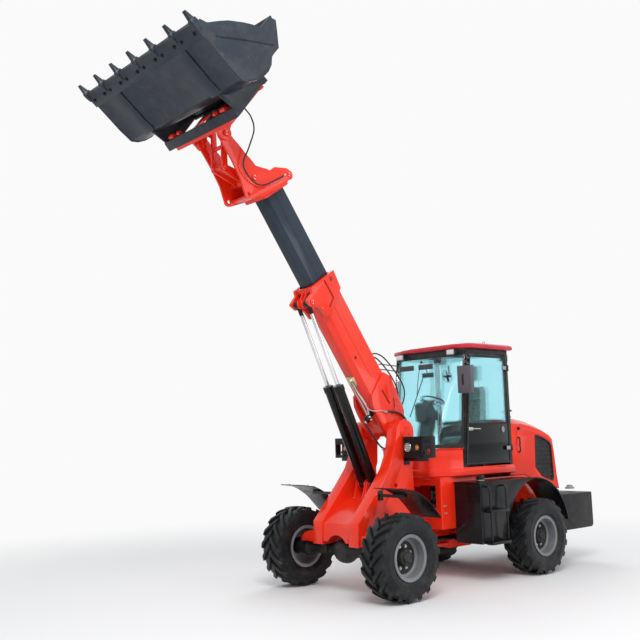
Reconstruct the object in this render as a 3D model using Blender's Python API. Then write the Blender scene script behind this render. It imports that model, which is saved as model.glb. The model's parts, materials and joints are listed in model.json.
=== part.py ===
"""Articulated telescopic wheel loader with a toothed bucket, modelled in metres.

+X is forward, +Y is the left, door side and +Z is up. Sizes along X are measured
from the front axle until the last step, which centres the machine over its origin.
Every moving piece hangs under an empty that stands on its joint.
"""
import math

import bmesh
import bpy
from mathutils import Matrix, Vector

# General
GAP = 0.0003                # between pieces that touch
MOVING_GAP = 0.006          # between pieces that move past each other
PIN_GAP = 0.0006            # round a pin in its bore
MIRRORED = (("left", 1), ("right", -1))

# Wheels and axles
WHEELBASE = 2.83
HALF_TRACK = 0.985
TYRE_RADIUS = 0.5375
LUG_HEIGHT = 0.034
LUGS_PER_SIDE = 18
LUG_TAPER = 0.86            # width at a bar's top as a share of its foot
TREAD_HALF_WIDTH = 0.192
TYRE_HALF_WIDTH = 0.205
CHEVRON_LEAN = 1.9          # radians of sweep for each metre away from the centre line
RIM_HALF_WIDTH = 0.176
RIM_FLANGE_RADIUS = 0.285
RIM_SEAT_RADIUS = 0.254
RIM_WALL = 0.012
RIM_DISC_OFFSET = 0.035
HUB_RADIUS = 0.115
AXLE_TUBE_RADIUS = 0.075
AXLE_PAD_TOP = 0.62
DIFFERENTIAL_RADIUS = 0.165

# Articulation
HINGE_X = -WHEELBASE / 2
HINGE_PIN_RADIUS = 0.035
HINGE_LUG_RADIUS = 0.10
STEER_LEVEL = 0.565
STEER_LUG_LOW = 0.47
STEER_LUG_HIGH = 0.66
STEER_LUG_THICKNESS = 0.04
STEER_BASE_X = HINGE_X - 0.485
STEER_BASE_Y = 0.30
STEER_EYE_X = HINGE_X + 0.40
STEER_EYE_Y = 0.28
STEER_BARREL_RADIUS = 0.036
STEER_BARREL_LENGTH = 0.50
STEER_ROD_RADIUS = 0.018
STEER_ROD_LENGTH = 0.585

# Front frame
COLUMN_INNER_Y = 0.26
COLUMN_OUTER_Y = 0.44
PIVOT_BOSS_RADIUS = 0.165
CROSS_PLATE_THICKNESS = 0.03
FENDER_INNER_Y = 0.69
FENDER_OUTER_Y = 1.19
FENDER_SHEET = 0.012
LAMP_FRONT_X = -0.700
LAMP_BACK_X = -0.790
LAMP_INNER_Y = 0.458
LAMP_SPLIT_Y = 0.765
LAMP_OUTER_Y = 0.940
LAMP_LOW = 1.722
LAMP_HIGH = 2.006

# Boom, in its own frame: s runs along it from the pivot, h stands square to it
PIVOT_X = -0.753
PIVOT_Z = 2.076
BOOM_ANGLE = math.radians(55.4)
OUTER_HALF_WIDTH = 0.150
OUTER_LOW = -0.060
OUTER_HIGH = 0.374
OUTER_WALL = 0.010
OUTER_CHAMFER = 0.068
OUTER_END = 2.366
INNER_HALF_WIDTH = 0.130
INNER_LOW = -0.023
INNER_HIGH = 0.339
INNER_WALL = 0.010
INNER_CHAMFER = 0.055
INNER_START = 1.55
INNER_END = 3.735
CHEEK_OUTER_Y = 0.190
PIVOT_PIN_RADIUS = 0.06
EAR_S = 2.203
EAR_H = -0.181

# Lift cylinders
LIFT_BASE_X = -0.453
LIFT_BASE_Z = 1.383
LIFT_HALF_SPACING = 0.101
LIFT_BARREL_RADIUS = 0.066
LIFT_BARREL_LENGTH = 1.45
LIFT_ROD_RADIUS = 0.026
LIFT_EYE_HALF_WIDTH = 0.030
LIFT_EYE_RADIUS = 0.062
LIFT_EYE_INNER = LIFT_HALF_SPACING - LIFT_EYE_HALF_WIDTH
LIFT_EYE_OUTER = LIFT_HALF_SPACING + LIFT_EYE_HALF_WIDTH
LIFT_PIN_RADIUS = 0.03
LIFT_ROD_LENGTH = 1.395
LIFT_NECK_LENGTH = 0.15     # the black head of the rod, from its eye's centre

# Boom head and tilt linkage, in the boom frame
HEAD_START = 3.67
HEAD_CHEEK_OUTER = 0.235
HEAD_CHEEK_THICKNESS = 0.028
CRANK_S, CRANK_H = 3.975, -0.107
KNUCKLE_S, KNUCKLE_H = 4.27, -0.34
TILT_S, TILT_H = 4.62, -0.21
ROD_EYE_S, ROD_EYE_H = 3.93, 0.12
LINK_ARM = 0.14
LINK_ARM_ANGLE = math.radians(70)
TILT_ROD_RADIUS = 0.028

# Bucket, in its own frame: f runs along the floor from the heel, u stands square to it
BUCKET_ANGLE = math.radians(38.3)
BUCKET_HALF_WIDTH = 1.25
BUCKET_WALL = 0.014
BUCKET_SIDE_WALL = 0.020
FLOOR_LENGTH = 0.786
PIVOT_F, PIVOT_U = -0.505, 0.110
HITCH_HALF_WIDTH = 0.765
HITCH_PLATE = 0.025
TOOTH_COUNT = 7
HOOKS = ((0.405, 0.020), (0.572, 0.045))        # place across and half width of each latch hook
TOOTH_REACH = FLOOR_LENGTH + 0.154
TOOTH_WIDTH = 0.062

# Cab
CAB_HALF_WIDTH = 0.70
CAB_FRONT_HALF_WIDTH = 0.487
CAB_FRONT_X = HINGE_X + 0.170        # at the foot of the windscreen
CAB_FRONT_RAKE = 0.398
GLASS_FOOT_Z = 1.85
CAB_FLOOR_Z = 1.432
SILL_Z = 1.555
CAB_TOP_Z = 3.25
DOOR_POST_FOOT_X = HINGE_X - 0.266
DOOR_POST_RAKE = 0.109
REAR_POST_X = -WHEELBASE + 0.09
POST = 0.060
GLASS_THICKNESS = 0.008
HINGE_DOOR_X = REAR_POST_X + 0.02
HINGE_DOOR_Y = CAB_HALF_WIDTH + 0.035
DOOR_HINGE_LEVELS = (1.80, 2.98)
ROOF_THICKNESS = 0.065
GLASS_BEND = 0.13           # length over which the windscreen turns each corner
DOOR_PANEL_TOP = 2.16
REAR_PANEL_TOP = 2.17
SEAT_Y = 0.16
SKIRT_SWELL = 0.016

# Rear frame and body
FRAME_HALF_WIDTH = 0.60
FRAME_FRONT_X = HINGE_X + 0.165
FRAME_LOW = 0.73
SPINE_HALF_WIDTH = 0.30
SPINE_TOP = 0.92
DECK_OUTER_Y = 1.05
DECK_TOP = 1.360
BOX_FRONT_X = HINGE_X - 0.115
BOX_LOW = 0.535
ARCH_HALF_LENGTH = 0.735
ARCH_HEIGHT = 0.810
HOOD_HALF_WIDTH = 0.60
HOOD_FRONT_X = -WHEELBASE
HOOD_WALL = 0.030
HINGE_HOOD_X = -WHEELBASE - 1.27
HINGE_HOOD_Z = 1.085
HOOD_KNUCKLE_RADIUS = 0.020
COUNTERWEIGHT_REAR = -WHEELBASE - 1.71
COUNTERWEIGHT_FRONT = -WHEELBASE - 0.83
COUNTERWEIGHT_HALF_WIDTH = 0.88
COUNTERWEIGHT_LOW = 0.51
COUNTERWEIGHT_TOP = 1.05

RED = (0.83, 0.05, 0.02)
CRIMSON = (0.62, 0.02, 0.04)
SLATE = (0.06, 0.08, 0.11)
BLACK = (0.015, 0.015, 0.017)


def material(name, colour, roughness=0.5, metallic=0.0, alpha=1.0):
    found = bpy.data.materials.get(name)
    if found:
        return found
    made = bpy.data.materials.new(name)
    made.use_nodes = True
    shader = made.node_tree.nodes["Principled BSDF"]
    shader.inputs["Base Color"].default_value = (*colour, 1.0)
    shader.inputs["Roughness"].default_value = roughness
    shader.inputs["Metallic"].default_value = metallic
    shader.inputs["Alpha"].default_value = alpha
    return made


class Plane:
    """An upright plane across the machine, with its own origin and slope."""

    def __init__(self, x, z, angle=0.0):
        self.x, self.z, self.angle = x, z, angle

    def at(self, a, b, y=0.0):
        cos, sin = math.cos(self.angle), math.sin(self.angle)
        return Vector((self.x + a * cos - b * sin, y, self.z + a * sin + b * cos))

    def placement(self):
        return Matrix.Translation((self.x, 0, self.z)) @ Matrix.Rotation(-self.angle, 4, "Y")


SIDE = Plane(0.0, 0.0)
BOOM = Plane(PIVOT_X, PIVOT_Z, BOOM_ANGLE)
TILT_POINT = BOOM.at(TILT_S, TILT_H)
BUCKET_ORIGIN = TILT_POINT - (Plane(0, 0, BUCKET_ANGLE).at(PIVOT_F, PIVOT_U))
BUCKET = Plane(BUCKET_ORIGIN.x, BUCKET_ORIGIN.z, BUCKET_ANGLE)


def mesh_of(form):
    mesh = bpy.data.meshes.new("form")
    bmesh.ops.recalc_face_normals(form, faces=form.faces[:])
    form.to_mesh(mesh)
    form.free()
    return mesh


def loft(sections):
    """A closed body through sections with equal numbers of points, capped at both ends."""
    form = bmesh.new()
    loops = [[form.verts.new(point) for point in section] for section in sections]
    count = len(loops[0])
    for low, high in zip(loops, loops[1:]):
        for i in range(count):
            j = (i + 1) % count
            form.faces.new((low[i], low[j], high[j], high[i]))
    form.faces.new(loops[0][::-1])
    form.faces.new(loops[-1])
    return mesh_of(form)


def plate(outline, y_low, y_high):
    """An outline of (along, up) points in an upright plane, with its thickness across."""
    return loft([[(a, y, b) for a, b in outline] for y in (y_low, y_high)])


def slab(outline, z_low, z_high):
    """An outline of (x, y) points seen from above, with its thickness upwards."""
    return loft([[(x, y, z) for x, y in outline] for z in (z_low, z_high)])


def box(x_low, x_high, y_low, y_high, z_low, z_high):
    outline = ((x_low, y_low), (x_high, y_low), (x_high, y_high), (x_low, y_high))
    return slab(outline, z_low, z_high)


def beam(start, end, width, depth, across=(0, 1, 0)):
    """A square bar between two points; width lies along 'across', depth square to it."""
    start, end = Vector(start), Vector(end)
    along = (end - start).normalized()
    side = Vector(across) - Vector(across).dot(along) * along
    side.normalize()
    up = along.cross(side)
    corners = [(-1, -1), (1, -1), (1, 1), (-1, 1)]
    return loft([[point + side * width / 2 * a + up * depth / 2 * b for a, b in corners]
                 for point in (start, end)])


def rod(start, end, radius, sides=12, end_radius=None):
    """A round bar, or a cone where the end has a radius of its own."""
    start, end = Vector(start), Vector(end)
    turn = (end - start).to_track_quat("Z", "Y")
    sections = []
    for point, r in ((start, radius), (end, end_radius or radius)):
        ring = []
        for i in range(sides):
            angle = 2 * math.pi * (i + 0.5) / sides
            ring.append(point + turn @ Vector((r * math.cos(angle), r * math.sin(angle), 0)))
        sections.append(ring)
    return loft(sections)


def turned(profile, centre, axis, sides):
    """A closed (along, radius) profile turned about an axis; a radius of 0 closes on it."""
    form = bmesh.new()
    turn = Vector(axis).to_track_quat("Z", "Y")
    centre = Vector(centre)
    closed = all(radius > 0 for _, radius in profile)
    rings = []
    for along, radius in profile:
        if radius == 0:
            rings.append([form.verts.new(centre + turn @ Vector((0, 0, along)))] * sides)
            continue
        ring = []
        for i in range(sides):
            angle = 2 * math.pi * (i + 0.5) / sides
            offset = Vector((radius * math.cos(angle), radius * math.sin(angle), along))
            ring.append(form.verts.new(centre + turn @ offset))
        rings.append(ring)
    pairs = list(zip(rings, rings[1:]))
    if closed:
        pairs.append((rings[-1], rings[0]))
    for low, high in pairs:
        for i in range(sides):
            j = (i + 1) % sides
            corners = []
            for vert in (low[i], low[j], high[j], high[i]):
                if vert not in corners:
                    corners.append(vert)
            form.faces.new(corners)
    return mesh_of(form)


def tube(points, radius, sides=8):
    """A round bar along a path of points."""
    points = [Vector(point) for point in points]
    sections = []
    side = None
    for i, point in enumerate(points):
        ahead = points[min(i + 1, len(points) - 1)]
        behind = points[max(i - 1, 0)]
        along = (ahead - behind).normalized()
        if side is None:
            side = along.orthogonal().normalized()
        side = (side - side.dot(along) * along).normalized()
        up = along.cross(side)
        ring = []
        for k in range(sides):
            angle = 2 * math.pi * k / sides
            ring.append(point + radius * (side * math.cos(angle) + up * math.sin(angle)))
        sections.append(ring)
    return loft(sections)


def boolean(mesh, others, operation):
    """The mesh after a Boolean with each of the others in turn."""
    scene = bpy.context.scene.collection
    holder = bpy.data.objects.new("holder", mesh)
    scene.objects.link(holder)
    tools = []
    for other in others:
        tool = bpy.data.objects.new("tool", other)
        scene.objects.link(tool)
        tools.append(tool)
        step = holder.modifiers.new("step", "BOOLEAN")
        step.operation = operation
        step.solver = "EXACT"
        step.object = tool
    depsgraph = bpy.context.evaluated_depsgraph_get()
    result = bpy.data.meshes.new_from_object(holder.evaluated_get(depsgraph))
    for used in [holder] + tools:
        bpy.data.objects.remove(used)
    return result


def join(first, *others):
    return boolean(first, others, "UNION")


def cut(first, *others):
    return boolean(first, others, "DIFFERENCE")


def mirrored(mesh):
    """The same form on the other side of the machine."""
    copy = mesh.copy()
    copy.transform(Matrix.Scale(-1, 4, (0, 1, 0)))
    copy.flip_normals()
    return copy


def on_side(mesh, sign):
    return mesh if sign > 0 else mirrored(mesh)


def both(mesh):
    return [mesh, mirrored(mesh)]


bodies = {}


def body(name, point, parent=None):
    """An empty on a joint, which carries the pieces that move with it."""
    empty = bpy.data.objects.new(name + "_axis", None)
    bpy.context.scene.collection.objects.link(empty)
    empty.empty_display_size = 0.1
    origin = bodies[parent][1] if parent else Vector((0, 0, 0))
    empty.parent = bodies[parent][0] if parent else None
    empty.location = Vector(point) - origin
    bodies[name] = (empty, Vector(point))


def piece(name, owner, mesh, finish, plane=SIDE):
    """A named sub-part, made from a form drawn in a plane of its own."""
    empty, origin = bodies[owner]
    mesh.transform(Matrix.Translation(-origin) @ plane.placement())
    mesh.name = name
    mesh.materials.clear()
    mesh.materials.append(finish)
    mesh.shade_smooth()
    mesh.set_sharp_from_angle(angle=math.radians(32))
    made = bpy.data.objects.new(name, mesh)
    bpy.context.scene.collection.objects.link(made)
    made.parent = empty
    return made


def arc(centre, radius, start, end, steps):
    """Points round part of a circle, from one angle to another in degrees."""
    points = []
    for i in range(steps + 1):
        angle = math.radians(start + (end - start) * i / steps)
        points.append((centre[0] + radius * math.cos(angle), centre[1] + radius * math.sin(angle)))
    return points



def clear_scene():
    for old in list(bpy.data.objects):
        bpy.data.objects.remove(old)


def make_bodies():
    link = BOOM.at(KNUCKLE_S, KNUCKLE_H)
    body("rear_frame", (0, 0, 0))
    body("front_frame", (HINGE_X, 0, STEER_LEVEL), "rear_frame")
    body("boom", (PIVOT_X, 0, PIVOT_Z), "front_frame")
    body("extension", BOOM.at(INNER_START, 0), "boom")
    body("bucket", TILT_POINT, "extension")
    body("bell_crank", BOOM.at(CRANK_S, CRANK_H), "extension")
    body("tilt_link", link, "bell_crank")
    body("tilt_rod", BOOM.at(ROD_EYE_S, ROD_EYE_H), "extension")
    body("lift_barrels", (LIFT_BASE_X, 0, LIFT_BASE_Z), "front_frame")
    body("lift_rods", BOOM.at(EAR_S, EAR_H), "lift_barrels")
    for side, sign in MIRRORED:
        base = (STEER_BASE_X, sign * STEER_BASE_Y, STEER_LEVEL)
        eye = (STEER_EYE_X, sign * STEER_EYE_Y, STEER_LEVEL)
        body("steer_barrel_" + side, base, "rear_frame")
        body("steer_rod_" + side, eye, "steer_barrel_" + side)
    body("door", (HINGE_DOOR_X, HINGE_DOOR_Y, SILL_Z), "rear_frame")
    body("hood", (HINGE_HOOD_X, 0, HINGE_HOOD_Z), "rear_frame")
    for end, x, parent in (("front", 0.0, "front_frame"), ("rear", -WHEELBASE, "rear_frame")):
        for side, sign in MIRRORED:
            body(f"{end}_{side}_wheel", (x, sign * HALF_TRACK, TYRE_RADIUS), parent)


def make_tyre():
    """A tyre about the Y axis with staggered bars that lean into a chevron."""
    base = TYRE_RADIUS - LUG_HEIGHT
    steps = LUGS_PER_SIDE * 2
    bore = (RIM_SEAT_RADIUS + GAP) / math.cos(math.pi / steps)
    half = (  # across the tyre, radius, 1 where a bar covers the strip outwards from here
        (0.0, base, 1),
        (TREAD_HALF_WIDTH * 0.5, base - 0.002, 1),
        (TREAD_HALF_WIDTH, base - 0.016, 1),
        (TYRE_HALF_WIDTH, base - 0.085, 0),
        (RIM_HALF_WIDTH - RIM_WALL - GAP, RIM_FLANGE_RADIUS + 0.012, 0),
        (RIM_HALF_WIDTH - RIM_WALL - GAP, bore, 0),
    )
    form = bmesh.new()
    rows = {}
    for sign in (1, -1):
        for k, (across, radius, _) in enumerate(half):
            if sign < 0 and k == 0:
                rows[(-1, 0)] = rows[(1, 0)]
                continue
            ring = []
            for i in range(steps):
                angle = 2 * math.pi * i / steps - CHEVRON_LEAN * min(across, TREAD_HALF_WIDTH)
                point = (radius * math.cos(angle), sign * across, radius * math.sin(angle))
                ring.append(form.verts.new(point))
            rows[(sign, k)] = ring
    bars = []
    for sign in (1, -1):
        for k in range(len(half) - 1):
            low, high = rows[(sign, k)], rows[(sign, k + 1)]
            for i in range(steps):
                j = (i + 1) % steps
                face = form.faces.new((low[i], low[j], high[j], high[i]))
                if half[k][2]:
                    bars.append((sign, i, face))
    last = len(half) - 1
    for i in range(steps):
        j = (i + 1) % steps
        form.faces.new((rows[(1, last)][i], rows[(1, last)][j],
                        rows[(-1, last)][j], rows[(-1, last)][i]))
    bmesh.ops.recalc_face_normals(form, faces=form.faces[:])
    for sign in (1, -1):
        for i in range(steps):
            if (i % 2 == 0) != (sign > 0):
                continue
            chosen = [face for s, n, face in bars if s == sign and n == i]
            raised = bmesh.ops.extrude_face_region(form, geom=chosen)
            bmesh.ops.delete(form, geom=chosen, context="FACES")
            for vert in [item for item in raised["geom"] if isinstance(item, bmesh.types.BMVert)]:
                radius = math.hypot(vert.co.x, vert.co.z)
                across = min(abs(vert.co.y), TREAD_HALF_WIDTH)
                on_tread = abs(vert.co.y) < TREAD_HALF_WIDTH + 0.001
                middle = 2 * math.pi * (i + 0.5) / steps - CHEVRON_LEAN * across
                off = math.remainder(math.atan2(vert.co.z, vert.co.x) - middle, 2 * math.pi)
                angle = middle + off * LUG_TAPER
                radius += LUG_HEIGHT if on_tread else 0.002
                vert.co.x = radius * math.cos(angle)
                vert.co.z = radius * math.sin(angle)
                if not on_tread:
                    vert.co.y += sign * 0.004
    return mesh_of(form)


def make_rim():
    """A dished wheel about the Y axis, its outer side towards +Y."""
    edge = RIM_HALF_WIDTH
    seat = RIM_SEAT_RADIUS
    disc = RIM_DISC_OFFSET
    profile = (  # across, radius
        (edge, RIM_FLANGE_RADIUS),
        (edge - RIM_WALL, RIM_FLANGE_RADIUS),
        (edge - RIM_WALL, seat),
        (RIM_WALL - edge, seat),
        (RIM_WALL - edge, RIM_FLANGE_RADIUS),
        (-edge, RIM_FLANGE_RADIUS),
        (-edge, seat - RIM_WALL),
        (disc - RIM_WALL, seat - 2 * RIM_WALL),
        (disc - 2 * RIM_WALL, HUB_RADIUS),
        (disc - 2 * RIM_WALL, 0),
        (disc + 0.085, 0),
        (disc + 0.085, HUB_RADIUS * 0.55),
        (disc + 0.070, HUB_RADIUS),
        (disc, HUB_RADIUS),
        (disc + RIM_WALL, seat - 2 * RIM_WALL),
        (edge, seat - RIM_WALL),
    )
    # the profile meets the axis twice, so the turned shell closes there
    return turned_about_axis(profile, 20)


def turned_about_axis(profile, sides):
    """A closed profile that touches the Y axis, turned about it."""
    form = bmesh.new()
    rings = []
    for across, radius in profile:
        if radius == 0:
            rings.append([form.verts.new((0, across, 0))] * sides)
            continue
        ring = []
        for i in range(sides):
            angle = 2 * math.pi * (i + 0.5) / sides
            point = (radius * math.cos(angle), across, radius * math.sin(angle))
            ring.append(form.verts.new(point))
        rings.append(ring)
    for low, high in zip(rings, rings[1:] + rings[:1]):
        if low[0] is low[1] and high[0] is high[1]:
            continue
        for i in range(sides):
            j = (i + 1) % sides
            corners = []
            for vert in (low[i], low[j], high[j], high[i]):
                if vert not in corners:
                    corners.append(vert)
            form.faces.new(corners)
    return mesh_of(form)


def make_wheels():
    rubber = material("tyre", (0.02, 0.02, 0.022), 0.85)
    silver = material("rim", (0.55, 0.56, 0.58), 0.35, 0.6)
    tyre, rim = make_tyre(), make_rim()
    for end, x in (("front", 0.0), ("rear", -WHEELBASE)):
        for side, sign in MIRRORED:
            name = f"{end}_{side}"
            place = Matrix.Translation((x, sign * HALF_TRACK, TYRE_RADIUS))
            for kind, form, finish in (("tyre", tyre, rubber), ("rim", rim, silver)):
                mesh = form.copy()
                if sign < 0:
                    mesh = mirrored(mesh)
                mesh.transform(place)
                piece(f"{name}_{kind}", name + "_wheel", mesh, finish)


def make_axle(name, owner, x):
    """A housing from hub to hub, with its differential, pinion nose and pads."""
    end = HALF_TRACK + RIM_DISC_OFFSET - 2 * RIM_WALL - PIN_GAP
    half = (  # across, radius
        (0.0, DIFFERENTIAL_RADIUS),
        (0.075, DIFFERENTIAL_RADIUS * 0.92),
        (0.14, DIFFERENTIAL_RADIUS * 0.66),
        (0.22, AXLE_TUBE_RADIUS),
        (0.66, AXLE_TUBE_RADIUS),
        (0.68, 0.125),
        (0.75, 0.125),
        (0.76, 0.100),
        (end, 0.100),
        (end, 0.0),
    )
    profile = [(-a, r) for a, r in reversed(half[1:])] + list(half)
    centre = (x, 0, TYRE_RADIUS)
    housing = turned(profile, centre, (0, 1, 0), 14)
    inward = -1 if x == 0 else 1
    nose = rod((x + inward * 0.08, 0, TYRE_RADIUS), (x + inward * 0.27, 0, TYRE_RADIUS), 0.085, 12, 0.06)
    pads = both(box(x - 0.11, x + 0.11, COLUMN_INNER_Y + 0.02, COLUMN_OUTER_Y - 0.02,
                    TYRE_RADIUS - 0.03, AXLE_PAD_TOP))
    piece(name, owner, join(housing, nose, *pads), material("axle_black", BLACK, 0.45))


def lug_outline(x_far, half_width, x_pin, radius):
    """A lug seen from above: square at the far end, round about the pin."""
    ahead = x_far > x_pin
    turn = (90, 270) if ahead else (-90, 90)
    nose = arc((x_pin, 0), radius, turn[0], turn[1], 8)
    if ahead:
        return nose + [(x_far, -half_width), (x_far, half_width)]
    return nose + [(x_far, half_width), (x_far, -half_width)]


def make_rear_frame():
    red = material("red_paint", RED, 0.35)
    wall = 0.03
    front, low, top = FRAME_FRONT_X, FRAME_LOW, CAB_FLOOR_Z - GAP
    half = FRAME_HALF_WIDTH
    back = HINGE_X - 0.785
    tub = box(back, front, -half, half, low, top)
    hollow = box(back + wall, front - wall, wall - half, half - wall, low - 0.1, top - wall)
    mouth = box(front - 2 * wall, front + 0.1, -0.24, 0.24, low - 0.1, 1.30)
    windows = both(plate([(front - 2 * wall, 1.02), (front + 0.1, 1.02), (front + 0.1, 1.32),
                          (front - 2 * wall, 1.32)], 0.20, 0.50))
    corner = [(front - 0.03, half + 0.02), (front + 0.02, half + 0.02), (front + 0.02, half - 0.03)]
    tub = cut(tub, hollow, mouth, *windows, *both(slab(corner, low - 0.1, top + 0.1)))
    spine = box(COUNTERWEIGHT_FRONT + GAP, back + 0.1, -SPINE_HALF_WIDTH, SPINE_HALF_WIDTH,
                AXLE_PAD_TOP + GAP, SPINE_TOP)
    block = box(back - 0.1, HINGE_X - 0.40, -0.22, 0.22, 0.40, SPINE_TOP)
    nose = box(HINGE_X - 0.42, HINGE_X - 0.185, -0.11, 0.11, 0.42, SPINE_TOP - 0.01)
    tie = box(back, back + 0.12, -half + 0.01, half - 0.01, low, SPINE_TOP)
    lugs = []
    for level in (STEER_LUG_LOW - STEER_LUG_THICKNESS - PIN_GAP, STEER_LUG_HIGH + PIN_GAP):
        outline = lug_outline(HINGE_X - 0.41, 0.19, HINGE_X, HINGE_LUG_RADIUS)
        lugs.append(slab(outline, level, level + STEER_LUG_THICKNESS))
    pin_low = STEER_LUG_LOW - STEER_LUG_THICKNESS - 0.01
    pin = rod((HINGE_X, 0, pin_low), (HINGE_X, 0, STEER_LUG_HIGH + STEER_LUG_THICKNESS + 0.01),
              HINGE_PIN_RADIUS, 16)
    anchors = []
    for sign in (1, -1):
        y = sign * STEER_BASE_Y
        for z in (STEER_LEVEL - 0.075, STEER_LEVEL + 0.045):
            anchors.append(box(STEER_BASE_X - 0.05, STEER_BASE_X + 0.05,
                               min(0, y + sign * 0.05), max(0, y + sign * 0.05), z, z + 0.03))
        anchors.append(rod((STEER_BASE_X, y, STEER_LEVEL - 0.06), (STEER_BASE_X, y, STEER_LEVEL + 0.06),
                           0.016, 12))
    x = -WHEELBASE
    flank = [(back + 0.02, 0.95), (back + 0.02, 1.376), (x - 0.36, 1.376), (x - 0.55, 1.305),
             (x - 0.71, 1.155), (COUNTERWEIGHT_FRONT + GAP, 0.95)]
    flanks = both(plate(flank, half - 0.04, half - 0.0005))
    bulkhead = box(x - 0.81, x - 0.78, 0.001 - half, half - 0.001, SPINE_TOP - 0.06, SPINE_TOP - 0.01)
    uprights = both(box(x - 0.808, x - 0.782, 0.31, half - 0.002, SPINE_TOP - 0.05, 1.02))
    arch = rod((-WHEELBASE - 0.4, 0, TYRE_RADIUS), (-WHEELBASE + 0.42, 0, TYRE_RADIUS),
               DIFFERENTIAL_RADIUS + 0.06, 20)
    spine = cut(spine, arch)
    mesh = join(tub, spine, block, nose, tie, pin, *lugs, *anchors, bulkhead, *uprights, *flanks)
    piece("rear_frame", "rear_frame", mesh, red)
    engine = box(COUNTERWEIGHT_FRONT + 0.005, HOOD_FRONT_X - 0.17, -0.28, 0.28, SPINE_TOP + GAP, 1.72)
    piece("engine_block", "rear_frame", engine, material("engine_grey", (0.12, 0.12, 0.13), 0.6))


def make_steering_cylinders():
    barrel_finish = material("cylinder_black", BLACK, 0.35)
    chrome = material("chrome", (0.75, 0.76, 0.78), 0.15, 1.0)
    for side, sign in MIRRORED:
        base = Vector((STEER_BASE_X, sign * STEER_BASE_Y, STEER_LEVEL))
        eye = Vector((STEER_EYE_X, sign * STEER_EYE_Y, STEER_LEVEL))
        along = (eye - base).normalized()
        up = Vector((0, 0, 0.045 - GAP))
        eye_up = Vector((0, 0, 0.055 - GAP))
        gland = base + along * STEER_BARREL_LENGTH
        barrel = join(rod(base + along * 0.02, gland, STEER_BARREL_RADIUS, 14),
                      rod(base - up, base + up, 0.034, 14))
        bore = rod(base + along * 0.055, gland + along * 0.05, STEER_ROD_RADIUS + PIN_GAP, 14)
        hole = rod(base - up * 2, base + up * 2, 0.016 + 2 * PIN_GAP, 12)
        piece("steer_barrel_" + side, "steer_barrel_" + side, cut(barrel, bore, hole), barrel_finish)
        tail = eye - along * STEER_ROD_LENGTH
        shaft = join(rod(tail, eye, STEER_ROD_RADIUS, 14), rod(eye - eye_up, eye + eye_up, 0.032, 14))
        piece("steer_rod_" + side, "steer_rod_" + side, shaft, chrome)


def column_outline():
    top = (PIVOT_X, PIVOT_Z)
    return ([(0.198, AXLE_PAD_TOP + GAP), (0.184, 0.92), (0.0, 1.115), (-0.19, 1.325),
             (-0.411, 1.586), (-0.51, 1.786)]
            + arc(top, PIVOT_BOSS_RADIUS, 20, 180, 8)
            + [(-0.895, 1.66), (-0.862, 1.575), (-0.88, 1.31), (-0.93, 0.90), (-0.90, 0.64),
               (-0.30, 0.64), (-0.22, AXLE_PAD_TOP + GAP)])


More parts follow.
